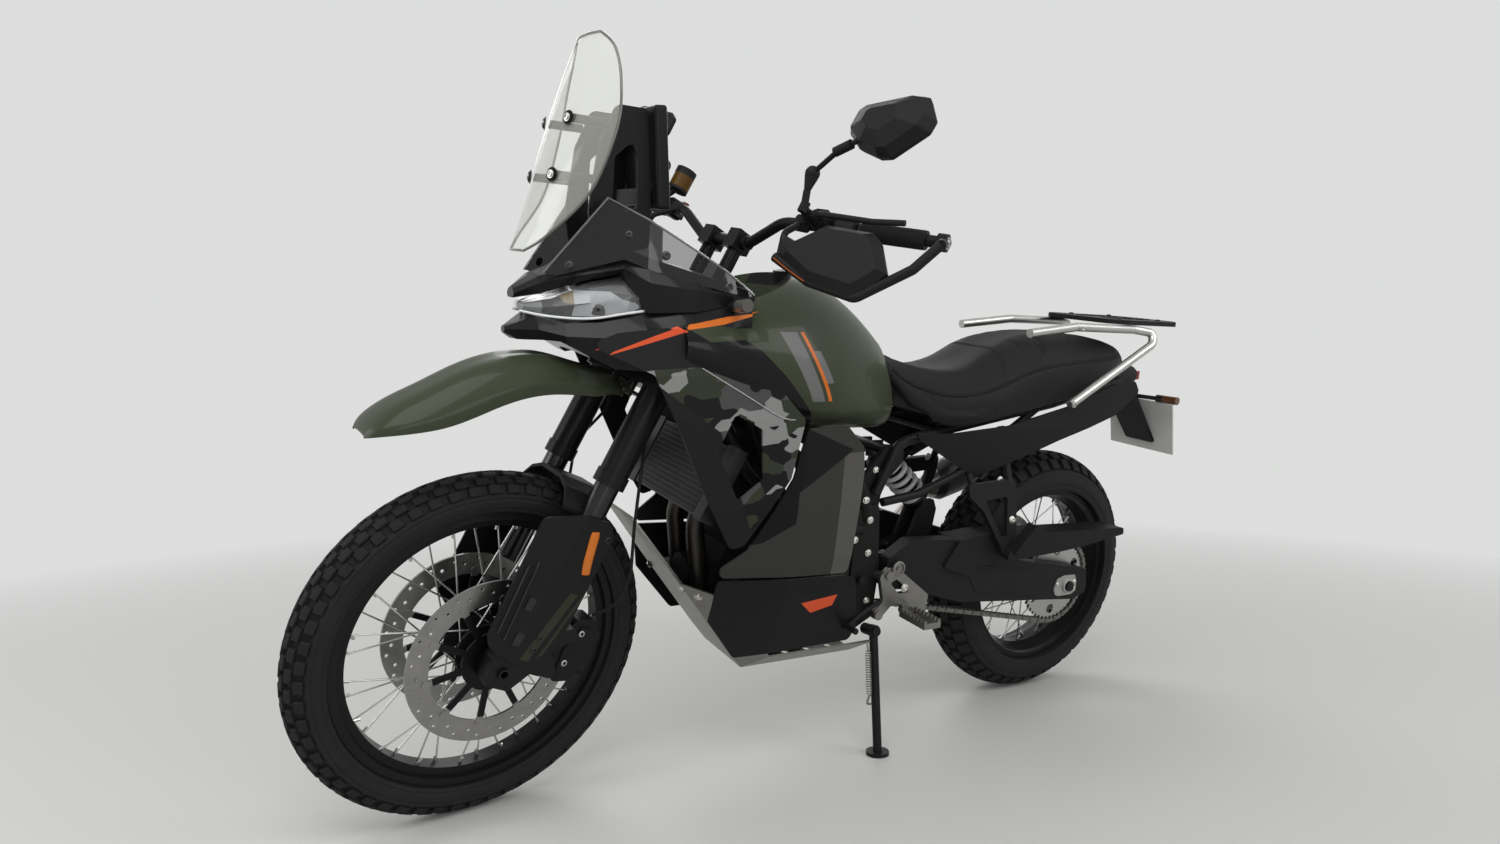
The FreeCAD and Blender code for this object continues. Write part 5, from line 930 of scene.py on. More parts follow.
switch_place = axes_at((bar_bend + grip_way * pod_offset) / 1000, grip_ahead, grip_way, grip_over)
key_meshes = [block("dip_key", (-0.026, 0.008, 0.002), (-0.0205, 0.020, 0.012), 0.0012, switch_place),
              block("turn_key", (-0.028, 0.024, -0.012), (-0.0205, 0.040, -0.002), 0.0015, switch_place),
              block("mode_key", (-0.025, 0.026, 0.003), (-0.0205, 0.038, 0.013), 0.0012, switch_place),
              block("horn_key", (-0.026, 0.006, -0.016), (-0.0205, 0.018, -0.006), 0.0012, switch_place),
              block("pod_seam", (-0.0215, 0.001, -0.0006), (0.0225, 0.045, 0.0006), 0.0004, switch_place)]
key_grey = finish("key_grey", (0.035, 0.035, 0.036), 0.42)
mesh_piece("switch_keys", both_sides(joined_mesh("switch_keys", key_meshes)), "steering", key_grey,
           fork, 30)
stop_red = finish("stop_red", (0.40, 0.02, 0.015), 0.4)
stop_key = block("stop_key", (-0.026, 0.012, 0.0215), (-0.010, 0.030, 0.026), 0.0015, switch_place)
stop_key.transform(Matrix.Diagonal((1, -1, 1, 1)))
stop_key.flip_normals()
mesh_piece("stop_key", stop_key, "steering", stop_red, fork, 30)
bar_ends = [(tuple(grip_end + grip_way * cap_offset), tuple(grip_way))]
screws("bar_end_screws", "steering", fork, mirrored_spots(bar_ends), screw_steel, 0.0085,
       0.0045)
guard_along = Vector((-0.37, 0.93, 0))
guard_out = Vector((0.93, 0.37, 0))
guard_middle = Vector((0, 330, 0)) - guard_out * 3
trim_line = [(guard_middle + guard_along * along + Vector((0, 0, height))) / 1000
             for along, height in ((-92, 895), (-52, 882.5), (-14, 873))]
trim_orange = finish("trim_orange", (0.26, 0.062, 0.011), 0.45)
mesh_piece("guard_trims", both_sides(swept("guard_trim", trim_line, 0.0013, 8, 4)), "steering", trim_orange,
           fork, 40)
mirror_glass = finish("mirror_glass", (0.62, 0.64, 0.66), 0.03, metal=1.0, mottle=0.01, relief=0.0)
glass_scale = 0.00086
mirror_outline = [(-94, -8), (-92, 32), (-76, 44), (40, 63), (58, 60), (92, 20), (90, -4), (34, -54),
                  (8, -56), (-48, -40)]
glass = slab("mirror_glass", [(-across * glass_scale, height * glass_scale)
                              for across, height in mirror_outline],
             upright((41.8, 398, 1150), rear_out), 0.0012, 0.0004)
mesh_piece("mirror_glasses", both_sides(glass), "steering", mirror_glass, fork, 30)


# Front fender: a long injection-moulded blade in matte army green, carried high under the nose.
# It is held under the lower clamp, so it turns with the fork, well clear of the tyre.
green_tone = (0.038, 0.045, 0.026)
sprayed = {"mottle": 0.06, "patch": 4, "grain": 1500, "relief": 0.0001, "coat": 0.12}
fender_green = finish("fender_green", green_tone, 0.38, **sprayed)
wear(fender_green, "front_fender")


# Fuel tank: a deep steel tank in the same green, its flanks swelling over the rider's knees.
# Slanted stripes run back from the beak, and a gloss black hollow meets the shroud below.
def beyond(material, reach):
    """1 farther from the machine's middle than a reach in metres, on both sides."""
    return either(material, *[side_of(material, machine, (0, side * reach, 0), (0, side, 0))
                              for side in (1, -1)])


def striped(material, area, stripes):
    """Paint outlines in their colours and gloss, only where an area's mask is 1."""
    for outline, tone, gloss in stripes:
        paint_over(material, both_of(material, area, in_shape(material, outline)), tone, gloss)


stripe_red = (0.62, 0.085, 0.030)
stripe_orange = (0.60, 0.145, 0.022)
bar_grey = (0.135, 0.138, 0.135)
recess_black = (0.007, 0.007, 0.008)
flank_reach = 0.150
front_stripe = [(1348, 934), (1268, 958), (1200, 979), (1214, 987), (1262, 970), (1340, 940)]
rear_stripe = [(1200, 982), (1130, 994), (1045, 1020), (1120, 1009), (1194, 991)]
tank_green = finish("tank_green", green_tone, 0.38, **sprayed)
hollow_outlines = [[(1330, 1010), (1209, 989), (1160, 962), (1160, 800), (1330, 800)],
                   [(1170, 962), (1091, 969), (1056, 950), (1002, 904), (953, 856), (1000, 800), (1170, 800)],
                   [(960, 862), (925, 829), (900, 790), (1000, 790)]]
hollow = either(tank_green, *[in_shape(tank_green, outline) for outline in hollow_outlines])
paint_over(tank_green, hollow, recess_black, 0.20)
striped(tank_green, beyond(tank_green, flank_reach),
        [([(1010, 985), (968, 985), (900, 852), (930, 852)], bar_grey, 0.42),
         ([(936, 950), (912, 950), (880, 888), (904, 888)], bar_grey, 0.42),
         ([(958, 985), (949, 985), (881, 852), (890, 852)], stripe_orange, 0.4),
         (rear_stripe, stripe_orange, 0.4), (front_stripe, stripe_red, 0.4)])
wear(tank_green, "fuel_tank")
panel_black = finish("panel_black", (0.011, 0.011, 0.012), 0.50, grain=900, relief=0.0005)
wear(panel_black, "tank_top_cover", "chain_guard", "tail_panels", "plate_holder")


# Shrouds: moulded panels beside the radiator, matte black under a film of angular camouflage.
# The film's patches are black, olive and two greys, and a bright bead follows the upper edge.
camo_black = (0.008, 0.008, 0.009, 1)
camo_olive = (0.030, 0.034, 0.022, 1)
camo_grey = (0.060, 0.062, 0.060, 1)
camo_light = (0.21, 0.215, 0.21, 1)
film_foot = 0.592
film_reach = 0.195
shroud_film = finish("shroud_film", (0.011, 0.011, 0.012), 0.42, grain=900, relief=0.0003)
film_tree = shroud_film.node_tree
patch_place = add_node(film_tree, "ShaderNodeMapping",
                       {"Vector": reading(shroud_film), "Rotation": (0, math.radians(34), 0),
                        "Scale": (19, 0, 31), "Location": (0.3, 0, 0.15)})
patches = add_node(film_tree, "ShaderNodeTexVoronoi", {"Vector": patch_place.outputs[0], "Scale": 1.0})
patches.distance = "MANHATTAN"
patch_pick = add_node(film_tree, "ShaderNodeSeparateColor", {0: patches.outputs["Color"]})
patch_tones = add_node(film_tree, "ShaderNodeValToRGB", {0: patch_pick.outputs[0]})
patch_tones.color_ramp.interpolation = "CONSTANT"
tones = patch_tones.color_ramp.elements
tones[0].color = camo_black
tones[1].position = 0.30
tones[1].color = camo_olive
for position, tone in ((0.56, camo_grey), (0.78, camo_light)):
    tones.new(position).color = tone
film_front = over_line(shroud_film, (1127, 795), (1320, 925))
film_rear = in_shape(shroud_film, [(1045, 600), (1127, 795), (900, 1000), (800, 1000), (960, 590)])
film_area = both_of(shroud_film, other_than(shroud_film, over_line(shroud_film, (1173, 916), (1300, 908))),
                    either(shroud_film, film_front, film_rear),
                    side_of(shroud_film, machine, (0, 0, film_foot), (0, 0, 1)),
                    beyond(shroud_film, film_reach))
paint_over(shroud_film, film_area, patch_tones.outputs[0])
for outline, tone in ((front_stripe, stripe_red), (rear_stripe, stripe_orange)):
    paint_over(shroud_film, in_shape(shroud_film, outline), tone, 0.35)
wear(shroud_film, "shrouds")
edge_silver = finish("edge_silver", (0.30, 0.30, 0.30), 0.3, metal=0.8)
edge_points = [(1.173, 0.2190, 0.915), (1.086, 0.2280, 0.868), (1.000, 0.2360, 0.822), (0.955, 0.2360, 0.820)]
edge_bead = swept("edge_bead", edge_points, 0.0014, 8, 3)
mesh_piece("shroud_beads", both_sides(edge_bead), "chassis", edge_silver, machine, 60)


# Side panels over the engine: moulded in graphite, with a painted highlight on the facet down their rear
# edge.
# A black hollow faces the shroud, and a black strip runs along the foot.
graphite = (0.033, 0.033, 0.031)
graphite_highlight = (0.080, 0.078, 0.072)
moulded_black = (0.006, 0.006, 0.007)
graphite_paint = finish("graphite_paint", graphite, 0.40, mottle=0.08, patch=4, grain=1500, relief=0.0001)
# The rear facet is painted lighter: a painted highlight where light falls on it.
rear_facet_highlight = in_shape(graphite_paint, [(831, 742), (832, 478), (700, 478), (700, 742)])
paint_over(graphite_paint, rear_facet_highlight, graphite_highlight, 0.42)
hollow_upper = both_of(graphite_paint, over_line(graphite_paint, (831, 735), (947, 671)),
                       other_than(graphite_paint, over_line(graphite_paint, (776, 737), (918, 792))))
hollow_lower = in_shape(graphite_paint, [(947, 760), (945, 606), (1013, 570), (1080, 562), (1080, 700)])
over_foot = either(graphite_paint, over_line(graphite_paint, (832, 497), (940, 486)),
                   over_line(graphite_paint, (940, 486), (1020, 520)))
panel_recess = either(graphite_paint, hollow_upper, hollow_lower, other_than(graphite_paint, over_foot))
paint_over(graphite_paint, panel_recess, moulded_black, 0.36)
wear(graphite_paint, "side_panels")


# Belly covers and skid plate: black moulded covers with an orange flash, over a pressed alloy plate.
# The plate is brushed and screwed on, and the rider's pegs are of the same alloy.
belly_black = finish("belly_black", (0.009, 0.009, 0.010), 0.42, grain=900, relief=0.0004)
striped(belly_black, beyond(belly_black, flank_reach),
        [([(890, 419), (797, 427), (802, 400), (856, 389)], stripe_red, 0.4)])
wear(belly_black, "belly_covers")
skid_alloy = finish("skid_alloy", (0.22, 0.215, 0.20), 0.36, metal=0.9, mottle=0.2, patch=30)
wear(skid_alloy, "skid_plate", "rider_pegs")


# Nose and cowl: gloss black moulded panels, with a slanted stripe running back to the tank.
# The lamp sits between them, behind a clear cover with a light strip along its foot.
polished = {"mottle": 0.05, "grain": 900, "relief": 0.0001, "coat": 0.12}
beak_reach = 0.120
beak_black = finish("beak_black", (0.008, 0.008, 0.009), 0.24, **polished)
striped(beak_black, beyond(beak_black, beak_reach),
        [(front_stripe, stripe_red, 0.35), (rear_stripe, stripe_orange, 0.35)])
wear(beak_black, "nose_fairing")
cowl_black = finish("cowl_black", (0.008, 0.008, 0.009), 0.28, **polished)
wear(cowl_black, "upper_cowl")


def merged_copy(name):
    """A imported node's shape, its doubled points merged and its faces turned outwards."""
    shape = bmesh.new()
    shape.from_mesh(frame["nodes"][name].data)
    bmesh.ops.remove_doubles(shape, verts=shape.verts, dist=0.00005)
    bmesh.ops.recalc_face_normals(shape, faces=shape.faces)
    return shape


def sink_in(shape, depth):
    """Draw every point of a shape in along its normal."""
    for vert, move in [(vert, vert.normal * depth) for vert in shape.verts]:
        vert.co -= move


def clear_sheet(name, tone, alpha, rough=0.04):
    """A glossy see-through plastic; its tint drifts a little over the sheet."""
    made = bpy.data.materials.new(name)
    made.use_nodes = True
    tree = made.node_tree
    shader = tree.nodes["Principled BSDF"]
    for socket, value in (("Roughness", rough), ("Alpha", alpha), ("Coat Weight", 0.5),
                          ("Coat Roughness", 0.02)):
        shader.inputs[socket].default_value = value
    place = add_node(tree, "ShaderNodeTexCoord")
    place.name = "place"
    drift = add_node(tree, "ShaderNodeTexNoise", {"Vector": place.outputs["Object"], "Scale": 3.0})
    darker = tuple(0.94 * part for part in tone) + (1,)
    tint = add_node(tree, "ShaderNodeMix", {0: drift.outputs[0], 6: darker, 7: tuple(tone) + (1,)},
                    data_type="RGBA")
    tree.links.new(tint.outputs[2], shader.inputs["Base Color"])
    return made


lamp_wall = 0.005
lamp_shape = merged_copy("headlight")
cover_mesh = bpy.data.meshes.new("headlight_cover")
lamp_shape.to_mesh(cover_mesh)
sink_in(lamp_shape, lamp_wall)
core_mesh = as_mesh("headlight_core", lamp_shape, False)
lamp_inside = finish("lamp_inside", (0.012, 0.012, 0.013), 0.22, mottle=0.05, coat=0.3)
lamp_zones = [([(1372, 1036), (1302, 1040), (1268, 1016), (1290, 996), (1376, 990)],
               (0.36, 0.37, 0.39), 0.16),
              ([(1318, 1040), (1272, 1040), (1262, 1020), (1300, 1026)], (0.035, 0.036, 0.040), 0.2),
              ([(1392, 1014), (1392, 1034), (1371, 1034), (1374, 1012)], (0.16, 0.105, 0.028), 0.2),
              ([(1460, 1000), (1420, 1012), (1420, 985), (1460, 985)], (0.20, 0.205, 0.21), 0.2)]
for outline, tone, gloss in lamp_zones:
    paint_over(lamp_inside, in_shape(lamp_inside, outline), tone, gloss)
mesh_piece("headlight_core", core_mesh, "chassis", lamp_inside, None, 30)
lamp_clear = clear_sheet("lamp_clear", (0.55, 0.56, 0.57), 0.16)
cover_piece = mesh_piece("headlight_cover", cover_mesh, "chassis", lamp_clear, None, 30)
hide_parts("headlight")
module_black = finish("module_black", (0.006, 0.006, 0.007), 0.15, coat=0.5)
strip_white = finish("strip_white", (0.72, 0.73, 0.74), 0.18, mottle=0.03, coat=0.4)
lens_profile = [(0.006, 0.0075), (0.0085, 0.0065), (0.0098, 0.0035), (0.0102, 0.0004), (0.004, 0.0004),
                (0.004, 0.0075)]
module_meshes = []
for spot, normal in (((1335, 112, 1008), (0.45, 0.85, 0.15)), ((1396, 66, 1005), (0.66, 0.68, 0.2))):
    seat_frame = upright(spot, normal)
    module_meshes.append(block("module", (-0.012, -0.013, -0.004), (0.012, 0.013, 0.006), 0.002, seat_frame))
    bulb = spun("module_lens", lens_profile, 24)
    bulb.transform(seat_frame @ Matrix.Rotation(math.pi / 2, 4, "X"))
    module_meshes.append(bulb)
mesh_piece("lamp_modules", both_sides(joined_mesh("lamp_module", module_meshes)), "chassis", module_black,
           machine, 35)
strip_points = [(1.452, 0.021, 0.9915), (1.410, 0.0660, 0.9865), (1.352, 0.1120, 0.9885),
                (1.294, 0.1410, 1.0020), (1.262, 0.1515, 1.0090)]
light_strip = swept("light_strip", strip_points, 0.0024, 10, 6)
mesh_piece("light_strip", both_sides(light_strip), "chassis", strip_white, machine, 40)


# Windscreen: a tall acrylic sheet, curved across and swept back, on four rubber-bushed clamps.
# The sheet's rim, and a bead round it, are painted a highlight brighter than the sheet. Two smoked deflectors
# close the gap to the cowl; their top edges carry a painted highlight as well.
screen_rows = [(1100, 1462, 40, 6), (1130, 1452, 84, 24), (1210, 1430, 128, 62), (1320, 1400, 150, 66),
               (1400, 1376, 138, 50), (1460, 1357, 104, 30), (1490, 1347, 60, 10)]
screen_thick = 0.004
rows_between = 7
across_steps = 28
screen_shape = bmesh.new()
layers = ([], [])
row_count = len(screen_rows)
for index in range(row_count - 1):
    for step in range(rows_between + (1 if index == row_count - 2 else 0)):
        share = step / rows_between
        height, lead, half, sweep = (eased([row[part] for row in screen_rows], index, share) / 1000
                                     for part in range(4))
        bend = (half ** 2 + sweep ** 2) / (2 * sweep)
        widest = math.asin(min(1.0, half / bend))
        turns = [widest * (2 * cut / across_steps - 1) for cut in range(across_steps + 1)]
        for depth, layer in zip((0, screen_thick), layers):
            layer.append([screen_shape.verts.new((lead - bend * (1 - math.cos(turn)) - depth,
                                                  bend * math.sin(turn), height)) for turn in turns])
front_layer, back_layer = layers
last_row = len(front_layer) - 1
for grid in layers:
    for row in range(last_row):
        for cut in range(across_steps):
            screen_shape.faces.new((grid[row][cut], grid[row][cut + 1], grid[row + 1][cut + 1],
                                    grid[row + 1][cut]))
rim = ([(0, cut) for cut in range(across_steps)] + [(row, across_steps) for row in range(last_row)]
       + [(last_row, cut) for cut in range(across_steps, 0, -1)]
       + [(row, 0) for row in range(last_row, 0, -1)])
for (row, cut), (next_row, next_cut) in zip(rim, rim[1:] + rim[:1]):
    rim_face = screen_shape.faces.new((front_layer[row][cut], front_layer[next_row][next_cut],
                                       back_layer[next_row][next_cut], back_layer[row][cut]))
    rim_face.material_index = 1
rim_line = [(front_layer[row][cut].co + back_layer[row][cut].co) / 2 for row, cut in rim]
screen_mesh = as_mesh("windscreen_sheet", screen_shape)
screen_clear = clear_sheet("screen_clear", (0.70, 0.71, 0.64), 0.20)
# The rim faces and the bead wear a painted highlight: a brighter, more opaque grey than the sheet.
screen_rim_highlight = clear_sheet("screen_rim_highlight", (0.13, 0.135, 0.12), 0.80, 0.10)
screen_mesh.materials.append(screen_clear)
screen_mesh.materials.append(screen_rim_highlight)
screen_piece = mesh_piece("windscreen_sheet", screen_mesh, "chassis", None, machine, 40)
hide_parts("windscreen")
screen_bead = swept("screen_bead", rim_line + rim_line[:1], 0.0027, 8, 1)
mesh_piece("screen_bead", screen_bead, "chassis", screen_rim_highlight, machine, 60)
bush_spots = []
for side in (1, -1):
    bush_spots.append(((1389.5, side * 64, 1336), (1, side * 0.42, 0.1)))
    bush_spots.append(((1414.5, side * 62, 1236), (1, side * 0.5, 0.1)))
bush_rubber = finish("bush_rubber", (0.012, 0.012, 0.012), 0.6)
screws("screen_bushes", "chassis", machine, bush_spots, bush_rubber, 0.0095)
screen_screws = [((point[0] + 3.2, point[1] + 1.2, point[2]), aim) for point, aim in bush_spots]
screws("screen_screws", "chassis", machine, screen_screws, screw_steel, 0.0055, 0.003)
tint_dark = clear_sheet("tint_dark", (0.010, 0.010, 0.011), 0.93, 0.05)
tint_tree = tint_dark.node_tree
tint_shader = tint_tree.nodes["Principled BSDF"]
tint_shader.inputs["Specular IOR Level"].default_value = 0.2
paler = in_shape(tint_dark, [(1232, 1200), (1140, 1135), (1168, 1080), (1238, 1098)])
tint_tree.links.new(sum_of(tint_dark, "MULTIPLY_ADD", paler, -0.45, 0.80), tint_shader.inputs["Alpha"])
wear(tint_dark, "wind_deflectors")
deflector_top = [(1.422, 0.058, 1.064), (1.322, 0.100, 1.204), (1.258, 0.140, 1.171), (1.190, 0.170, 1.131),
                 (1.121, 0.190, 1.091), (1.066, 0.204, 1.050)]
# Along each deflector's top edge runs a tube in a painted highlight.
deflector_edge = swept("deflector_edge", deflector_top, 0.0022, 8, 1)
deflector_edge_highlight = clear_sheet("deflector_edge_highlight", (0.16, 0.165, 0.165), 0.9, 0.1)
mesh_piece("deflector_edges", both_sides(deflector_edge), "chassis", deflector_edge_highlight, machine, 40)
deflector_screws = [((1384, 84, 1080), (0.5, 0.8, 0.3)), ((1290, 128, 1142), (0.5, 0.8, 0.3)),
                    ((1232, 163, 1110), (0.35, 0.9, 0.3)), ((1118, 198, 1062), (0.3, 0.9, 0.3))]
screws("deflector_screws", "chassis", machine, mirrored_spots(deflector_screws), screw_black,
       0.0065)


# Screen tower and display: a slotted moulded bracket, and a glossy upright panel that faces the rider.
# The panel's dark glass stands on its rear face, and four moulded ribs stiffen its front.
tower_black = finish("tower_black", (0.009, 0.009, 0.010), 0.34, grain=900, relief=0.0004)
wear(tower_black, "screen_tower")
display_place = machine @ Matrix.Translation((1.192, 0, 1.196)) @ Matrix.Rotation(math.radians(6), 4, "Y")
display_shell = finish("display_shell", (0.010, 0.010, 0.011), 0.30, grain=900, relief=0.0003)
wear(display_shell, "display")
display_glass = finish("display_glass", (0.006, 0.007, 0.010), 0.07, mottle=0.03, relief=0.0, coat=1.0)
display_outline = [(-0.080, 0.010), (0.080, 0.010), (0.080, 0.172), (-0.080, 0.172)]
glass_mesh = slab("display_glass", display_outline, upright((-0.5, 0, 0), rear_out), 0.0016, 0.0007)
mesh_piece("display_glass", glass_mesh, "chassis", display_glass, display_place, 30)
display_ribs = [block("display_rib", (0.0255, across - 0.003, 0.016), (0.0285, across + 0.003, 0.168), 0.001)
                for across in (-0.070, -0.046, 0.046, 0.070)]
mesh_piece("display_ribs", joined_mesh("display_ribs", display_ribs), "chassis", display_shell,
           display_place, 30)


# Front indicators: smoked lenses on short black moulded stalks at the cowl's sides.
# The stalks and the lenses are one moulding here, painted black up to where the lens begins.
def within(material, reach):
    """1 nearer to the machine's middle than a reach in metres."""
    return both_of(material, *[side_of(material, machine, (0, side * reach, 0), (0, -side, 0))
                               for side in (1, -1)])


stalk_black = (0.012, 0.012, 0.013)
front_stalk_end = 0.232
indicator_smoke = finish("indicator_smoke", (0.085, 0.080, 0.072), 0.12, coat=0.6)
paint_over(indicator_smoke, within(indicator_smoke, front_stalk_end), stalk_black, 0.5)
wear(indicator_smoke, "front_indicators")


# Seat: foam under black vinyl in two pads, a low rider's hollow and a raised passenger pad.
# A piped seam follows the shoulders, a cross seam marks the step, and both are stitched.
def seam_line(points, steps=16):
    """Points along an eased line through (ahead, left, up) points in millimetres."""
    line = []
    for index in range(len(points) - 1):
        for step in range(steps):
            line.append(Vector(eased([point[part] for point in points], index, step / steps) / 1000
                               for part in range(3)))
    line.append(Vector(points[-1]) / 1000)
    return line


# The top's lighter tone is partly its own grained cover and partly a painted sheen; the sides are a smoother
# black cover.
seat_top_tone_and_sheen = (0.0135, 0.0135, 0.0145)
seat_side_black = (0.0085, 0.0085, 0.0090)
seat_vinyl = finish("seat_vinyl", seat_top_tone_and_sheen, 0.62, mottle=0.12, patch=12, grain=900, relief=0.0004)
vinyl_tree = seat_vinyl.node_tree
seat_shader = vinyl_tree.nodes["Principled BSDF"]
pebbles = add_node(vinyl_tree, "ShaderNodeTexVoronoi", {"Vector": reading(seat_vinyl), "Scale": 520})
pebble_bump = add_node(vinyl_tree, "ShaderNodeBump",
                       {"Height": pebbles.outputs["Distance"], "Distance": 0.0006, "Strength": 0.6,
                        "Normal": seat_shader.inputs["Normal"].links[0].from_socket})
vinyl_tree.links.new(pebble_bump.outputs[0], seat_shader.inputs["Normal"])
shoulder_left = [(608, 84, 902), (560, 112, 866), (470, 145, 849), (370, 156, 861), (300, 151, 881),
                 (200, 143, 907), (60, 131, 923), (-80, 107, 931), (-180, 72, 936)]
step_seam = [(318, 146, 874), (306, 120, 918), (300, 60, 944), (299, 0, 948), (300, -60, 944),
             (306, -120, 918), (318, -146, 874)]
side_foot = 700
side_strips = [in_shape(seat_vinyl, [(start[0], start[2]), (end[0], end[2]), (end[0], side_foot),
                                     (start[0], side_foot)])
               for start, end in zip(shoulder_left, shoulder_left[1:])]
paint_over(seat_vinyl, either(seat_vinyl, *side_strips), seat_side_black, 0.5)

foam_sink = 0.0035
voxel = 0.006
base_height = 0.800
swell_frames = 20
travel_cap = 0.006
seat_copy = merged_copy("seat")
sink_in(seat_copy, foam_sink)
seat_pad = in_scene("seat_pad", as_mesh("seat_pad", seat_copy, False))
remesh = seat_pad.modifiers.new("even", "REMESH")
remesh.mode = "VOXEL"
remesh.voxel_size = voxel
remesh.use_smooth_shade = True
even_mesh = applied(seat_pad)
seat_pad.data = even_mesh
rest_points = [vert.co.copy() for vert in even_mesh.vertices]
to_machine = machine.inverted()
pinned = seat_pad.vertex_groups.new(name="pinned")
for vert in even_mesh.vertices:
    spot = to_machine @ vert.co
    facing_down = (to_machine.to_3x3() @ vert.normal).z < -0.35
    pinned.add([vert.index], 1.0 if facing_down or spot.z < base_height else 0.0, "REPLACE")
cloth = seat_pad.modifiers.new("foam", "CLOTH")
cloth.settings.use_pressure = True
cloth.settings.uniform_pressure_force = 4
cloth.settings.vertex_group_mass = "pinned"
cloth.settings.effector_weights.gravity = 0
cloth.point_cache.frame_start = 1
cloth.point_cache.frame_end = swell_frames
for number in range(1, swell_frames + 1):
    bpy.context.scene.frame_set(number)
swollen = applied(seat_pad)
for vert, rest in zip(swollen.vertices, rest_points):
    move = vert.co - rest
    if move.length > travel_cap:
        vert.co = rest + move.normalized() * travel_cap
seat_pad.vertex_groups.clear()
seat_pad.data = swollen
bpy.context.scene.frame_set(1)
smoother = seat_pad.modifiers.new("skin", "SUBSURF")
smoother.levels = 1
smoother.render_levels = 1
pad_mesh = applied(seat_pad)
bpy.data.objects.remove(seat_pad)

seam_depth = 0.0022
seam_width = 0.0042
pad_shape = bmesh.new()
pad_shape.from_mesh(pad_mesh)
pad_shape.transform(to_machine)
pad_tree = BVHTree.FromBMesh(pad_shape)
pad_shape.normal_update()
seam_sets = [[Vector((point.x, side * point.y, point.z)) for point in seam_line(shoulder_left)]
             for side in (1, -1)]
seam_sets.append(seam_line(step_seam))
laid_seams = [[pad_tree.find_nearest(point)[:2] for point in seam] for seam in seam_sets]
seam_spots = [point for seam in laid_seams for point, normal in seam]
close = KDTree(len(seam_spots))
for index, point in enumerate(seam_spots):
    close.insert(point, index)
close.balance()
for vert in pad_shape.verts:
    spot, index, far = close.find(vert.co)
    if far < 4 * seam_width:
        vert.co -= vert.normal * seam_depth * math.exp(-(far / seam_width) ** 2)
pad_shape.transform(machine)
pad_shape.to_mesh(pad_mesh)
pad_shape.free()
seat_piece = mesh_piece("seat_pad", pad_mesh, "chassis", seat_vinyl, None, 60)
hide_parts("seat")
stitch_thread = finish("stitch_thread", (0.030, 0.030, 0.031), 0.7)
stitch_pitch = 0.0065
stitch_offset = 0.0048
stitch_sink = 0.0004
stitch_half = 0.0019
stitch_flat = 0.0009
stitch_spots = []
for seam in laid_seams:
    spent = 0.0
    for (start, start_normal), (end, end_normal) in zip(seam, seam[1:]):
        length = (end - start).length
        way = (end - start).normalized()
        while spent < length:
            share = spent / length
            normal = start_normal.lerp(end_normal, share).normalized()
            aim = tuple(axes_at(Vector((0, 0, 0)), way, normal.cross(way), normal).to_euler())
            beside = normal.cross(way).normalized() * stitch_offset
            for offset in (beside, -beside):
                stitch_spots.append((start.lerp(end, share) + offset - normal * stitch_sink, aim))
            spent += stitch_pitch
        spent -= length
stitch_line = [(-stitch_half, 0, -stitch_sink), (-stitch_flat, 0, stitch_sink), (stitch_flat, 0, stitch_sink),
               (stitch_half, 0, -stitch_sink)]
stitch_unit = swept("stitch", stitch_line, 0.00045, 5, 1)
stitches = set_on("seat_stitches", stitch_spots, stitch_unit, stitch_thread)
mesh_piece("seat_stitches", stitches, "chassis", stitch_thread, machine, 60)
piping_sink = 0.0012
piping_meshes = [swept("piping", [point - normal * piping_sink for point, normal in seam[::4]], 0.0016, 8, 3)
                 for seam in laid_seams[:2]]
mesh_piece("seat_piping", joined_mesh("seat_piping", piping_meshes), "chassis", seat_vinyl,
           machine, 60)


# Rear shock: a pale coil spring between two black collars, round the damper's body and rod.
# The upper collar is notched for its spanner, and an eye at each end takes a bolt.
shock_top = Vector((0.588, 0, 0.700))
shock_low = Vector((0.404, 0, 0.546))
shock_way = (shock_top - shock_low).normalized()
shock_length = (shock_top - shock_low).length
shock_place = machine @ axes_at(shock_low, Vector(left_out), shock_way, Vector(left_out).cross(shock_way))
spring_grey = finish("spring_grey", (0.46, 0.465, 0.47), 0.30, mottle=0.05, coat=0.3)
wire_radius = 0.006
coil_radius = 0.031
spring_start = 0.054
spring_end = shock_length - 0.055
coil_turns = 6.3
spring_steps = 150
flat_share = 0.06
spring_points = []
for step in range(spring_steps + 1):
    share = step / spring_steps
    climb = min(1.0, max(0.0, (share - flat_share) / (1 - 2 * flat_share)))
    turn = 2 * math.pi * coil_turns * share
    spring_points.append((coil_radius * math.cos(turn), spring_start + (spring_end - spring_start) * climb,
                          coil_radius * math.sin(turn)))
spring_mesh = swept("shock_spring", spring_points, wire_radius, 12, 1)
spring_piece = mesh_piece("shock_spring", spring_mesh, "chassis", spring_grey, shock_place, 60)
damper_black = finish("damper_black", (0.011, 0.011, 0.012), 0.3)
damper_low = [(0.012, 0.003), (0.012, 0.0165), (0.040, 0.0165), (0.040, 0.036), (0.044, 0.0365),
              (0.0478, 0.034), (0.0482, 0.024), (0.100, 0.0232), (0.104, 0.022), (0.150, 0.022),
              (0.152, 0.0235)]
damper_high = [(0.060, 0.0235), (0.050, 0.0235), (0.0495, 0.0345), (0.046, 0.0375), (0.040, 0.0375),
               (0.038, 0.034), (0.036, 0.026), (0.028, 0.026), (0.026, 0.018), (0.010, 0.018), (0.010, 0.003)]
damper_profile = damper_low + [(shock_length - below, radius) for below, radius in damper_high]
damper_meshes = [spun("shock_body", damper_profile, 40)]
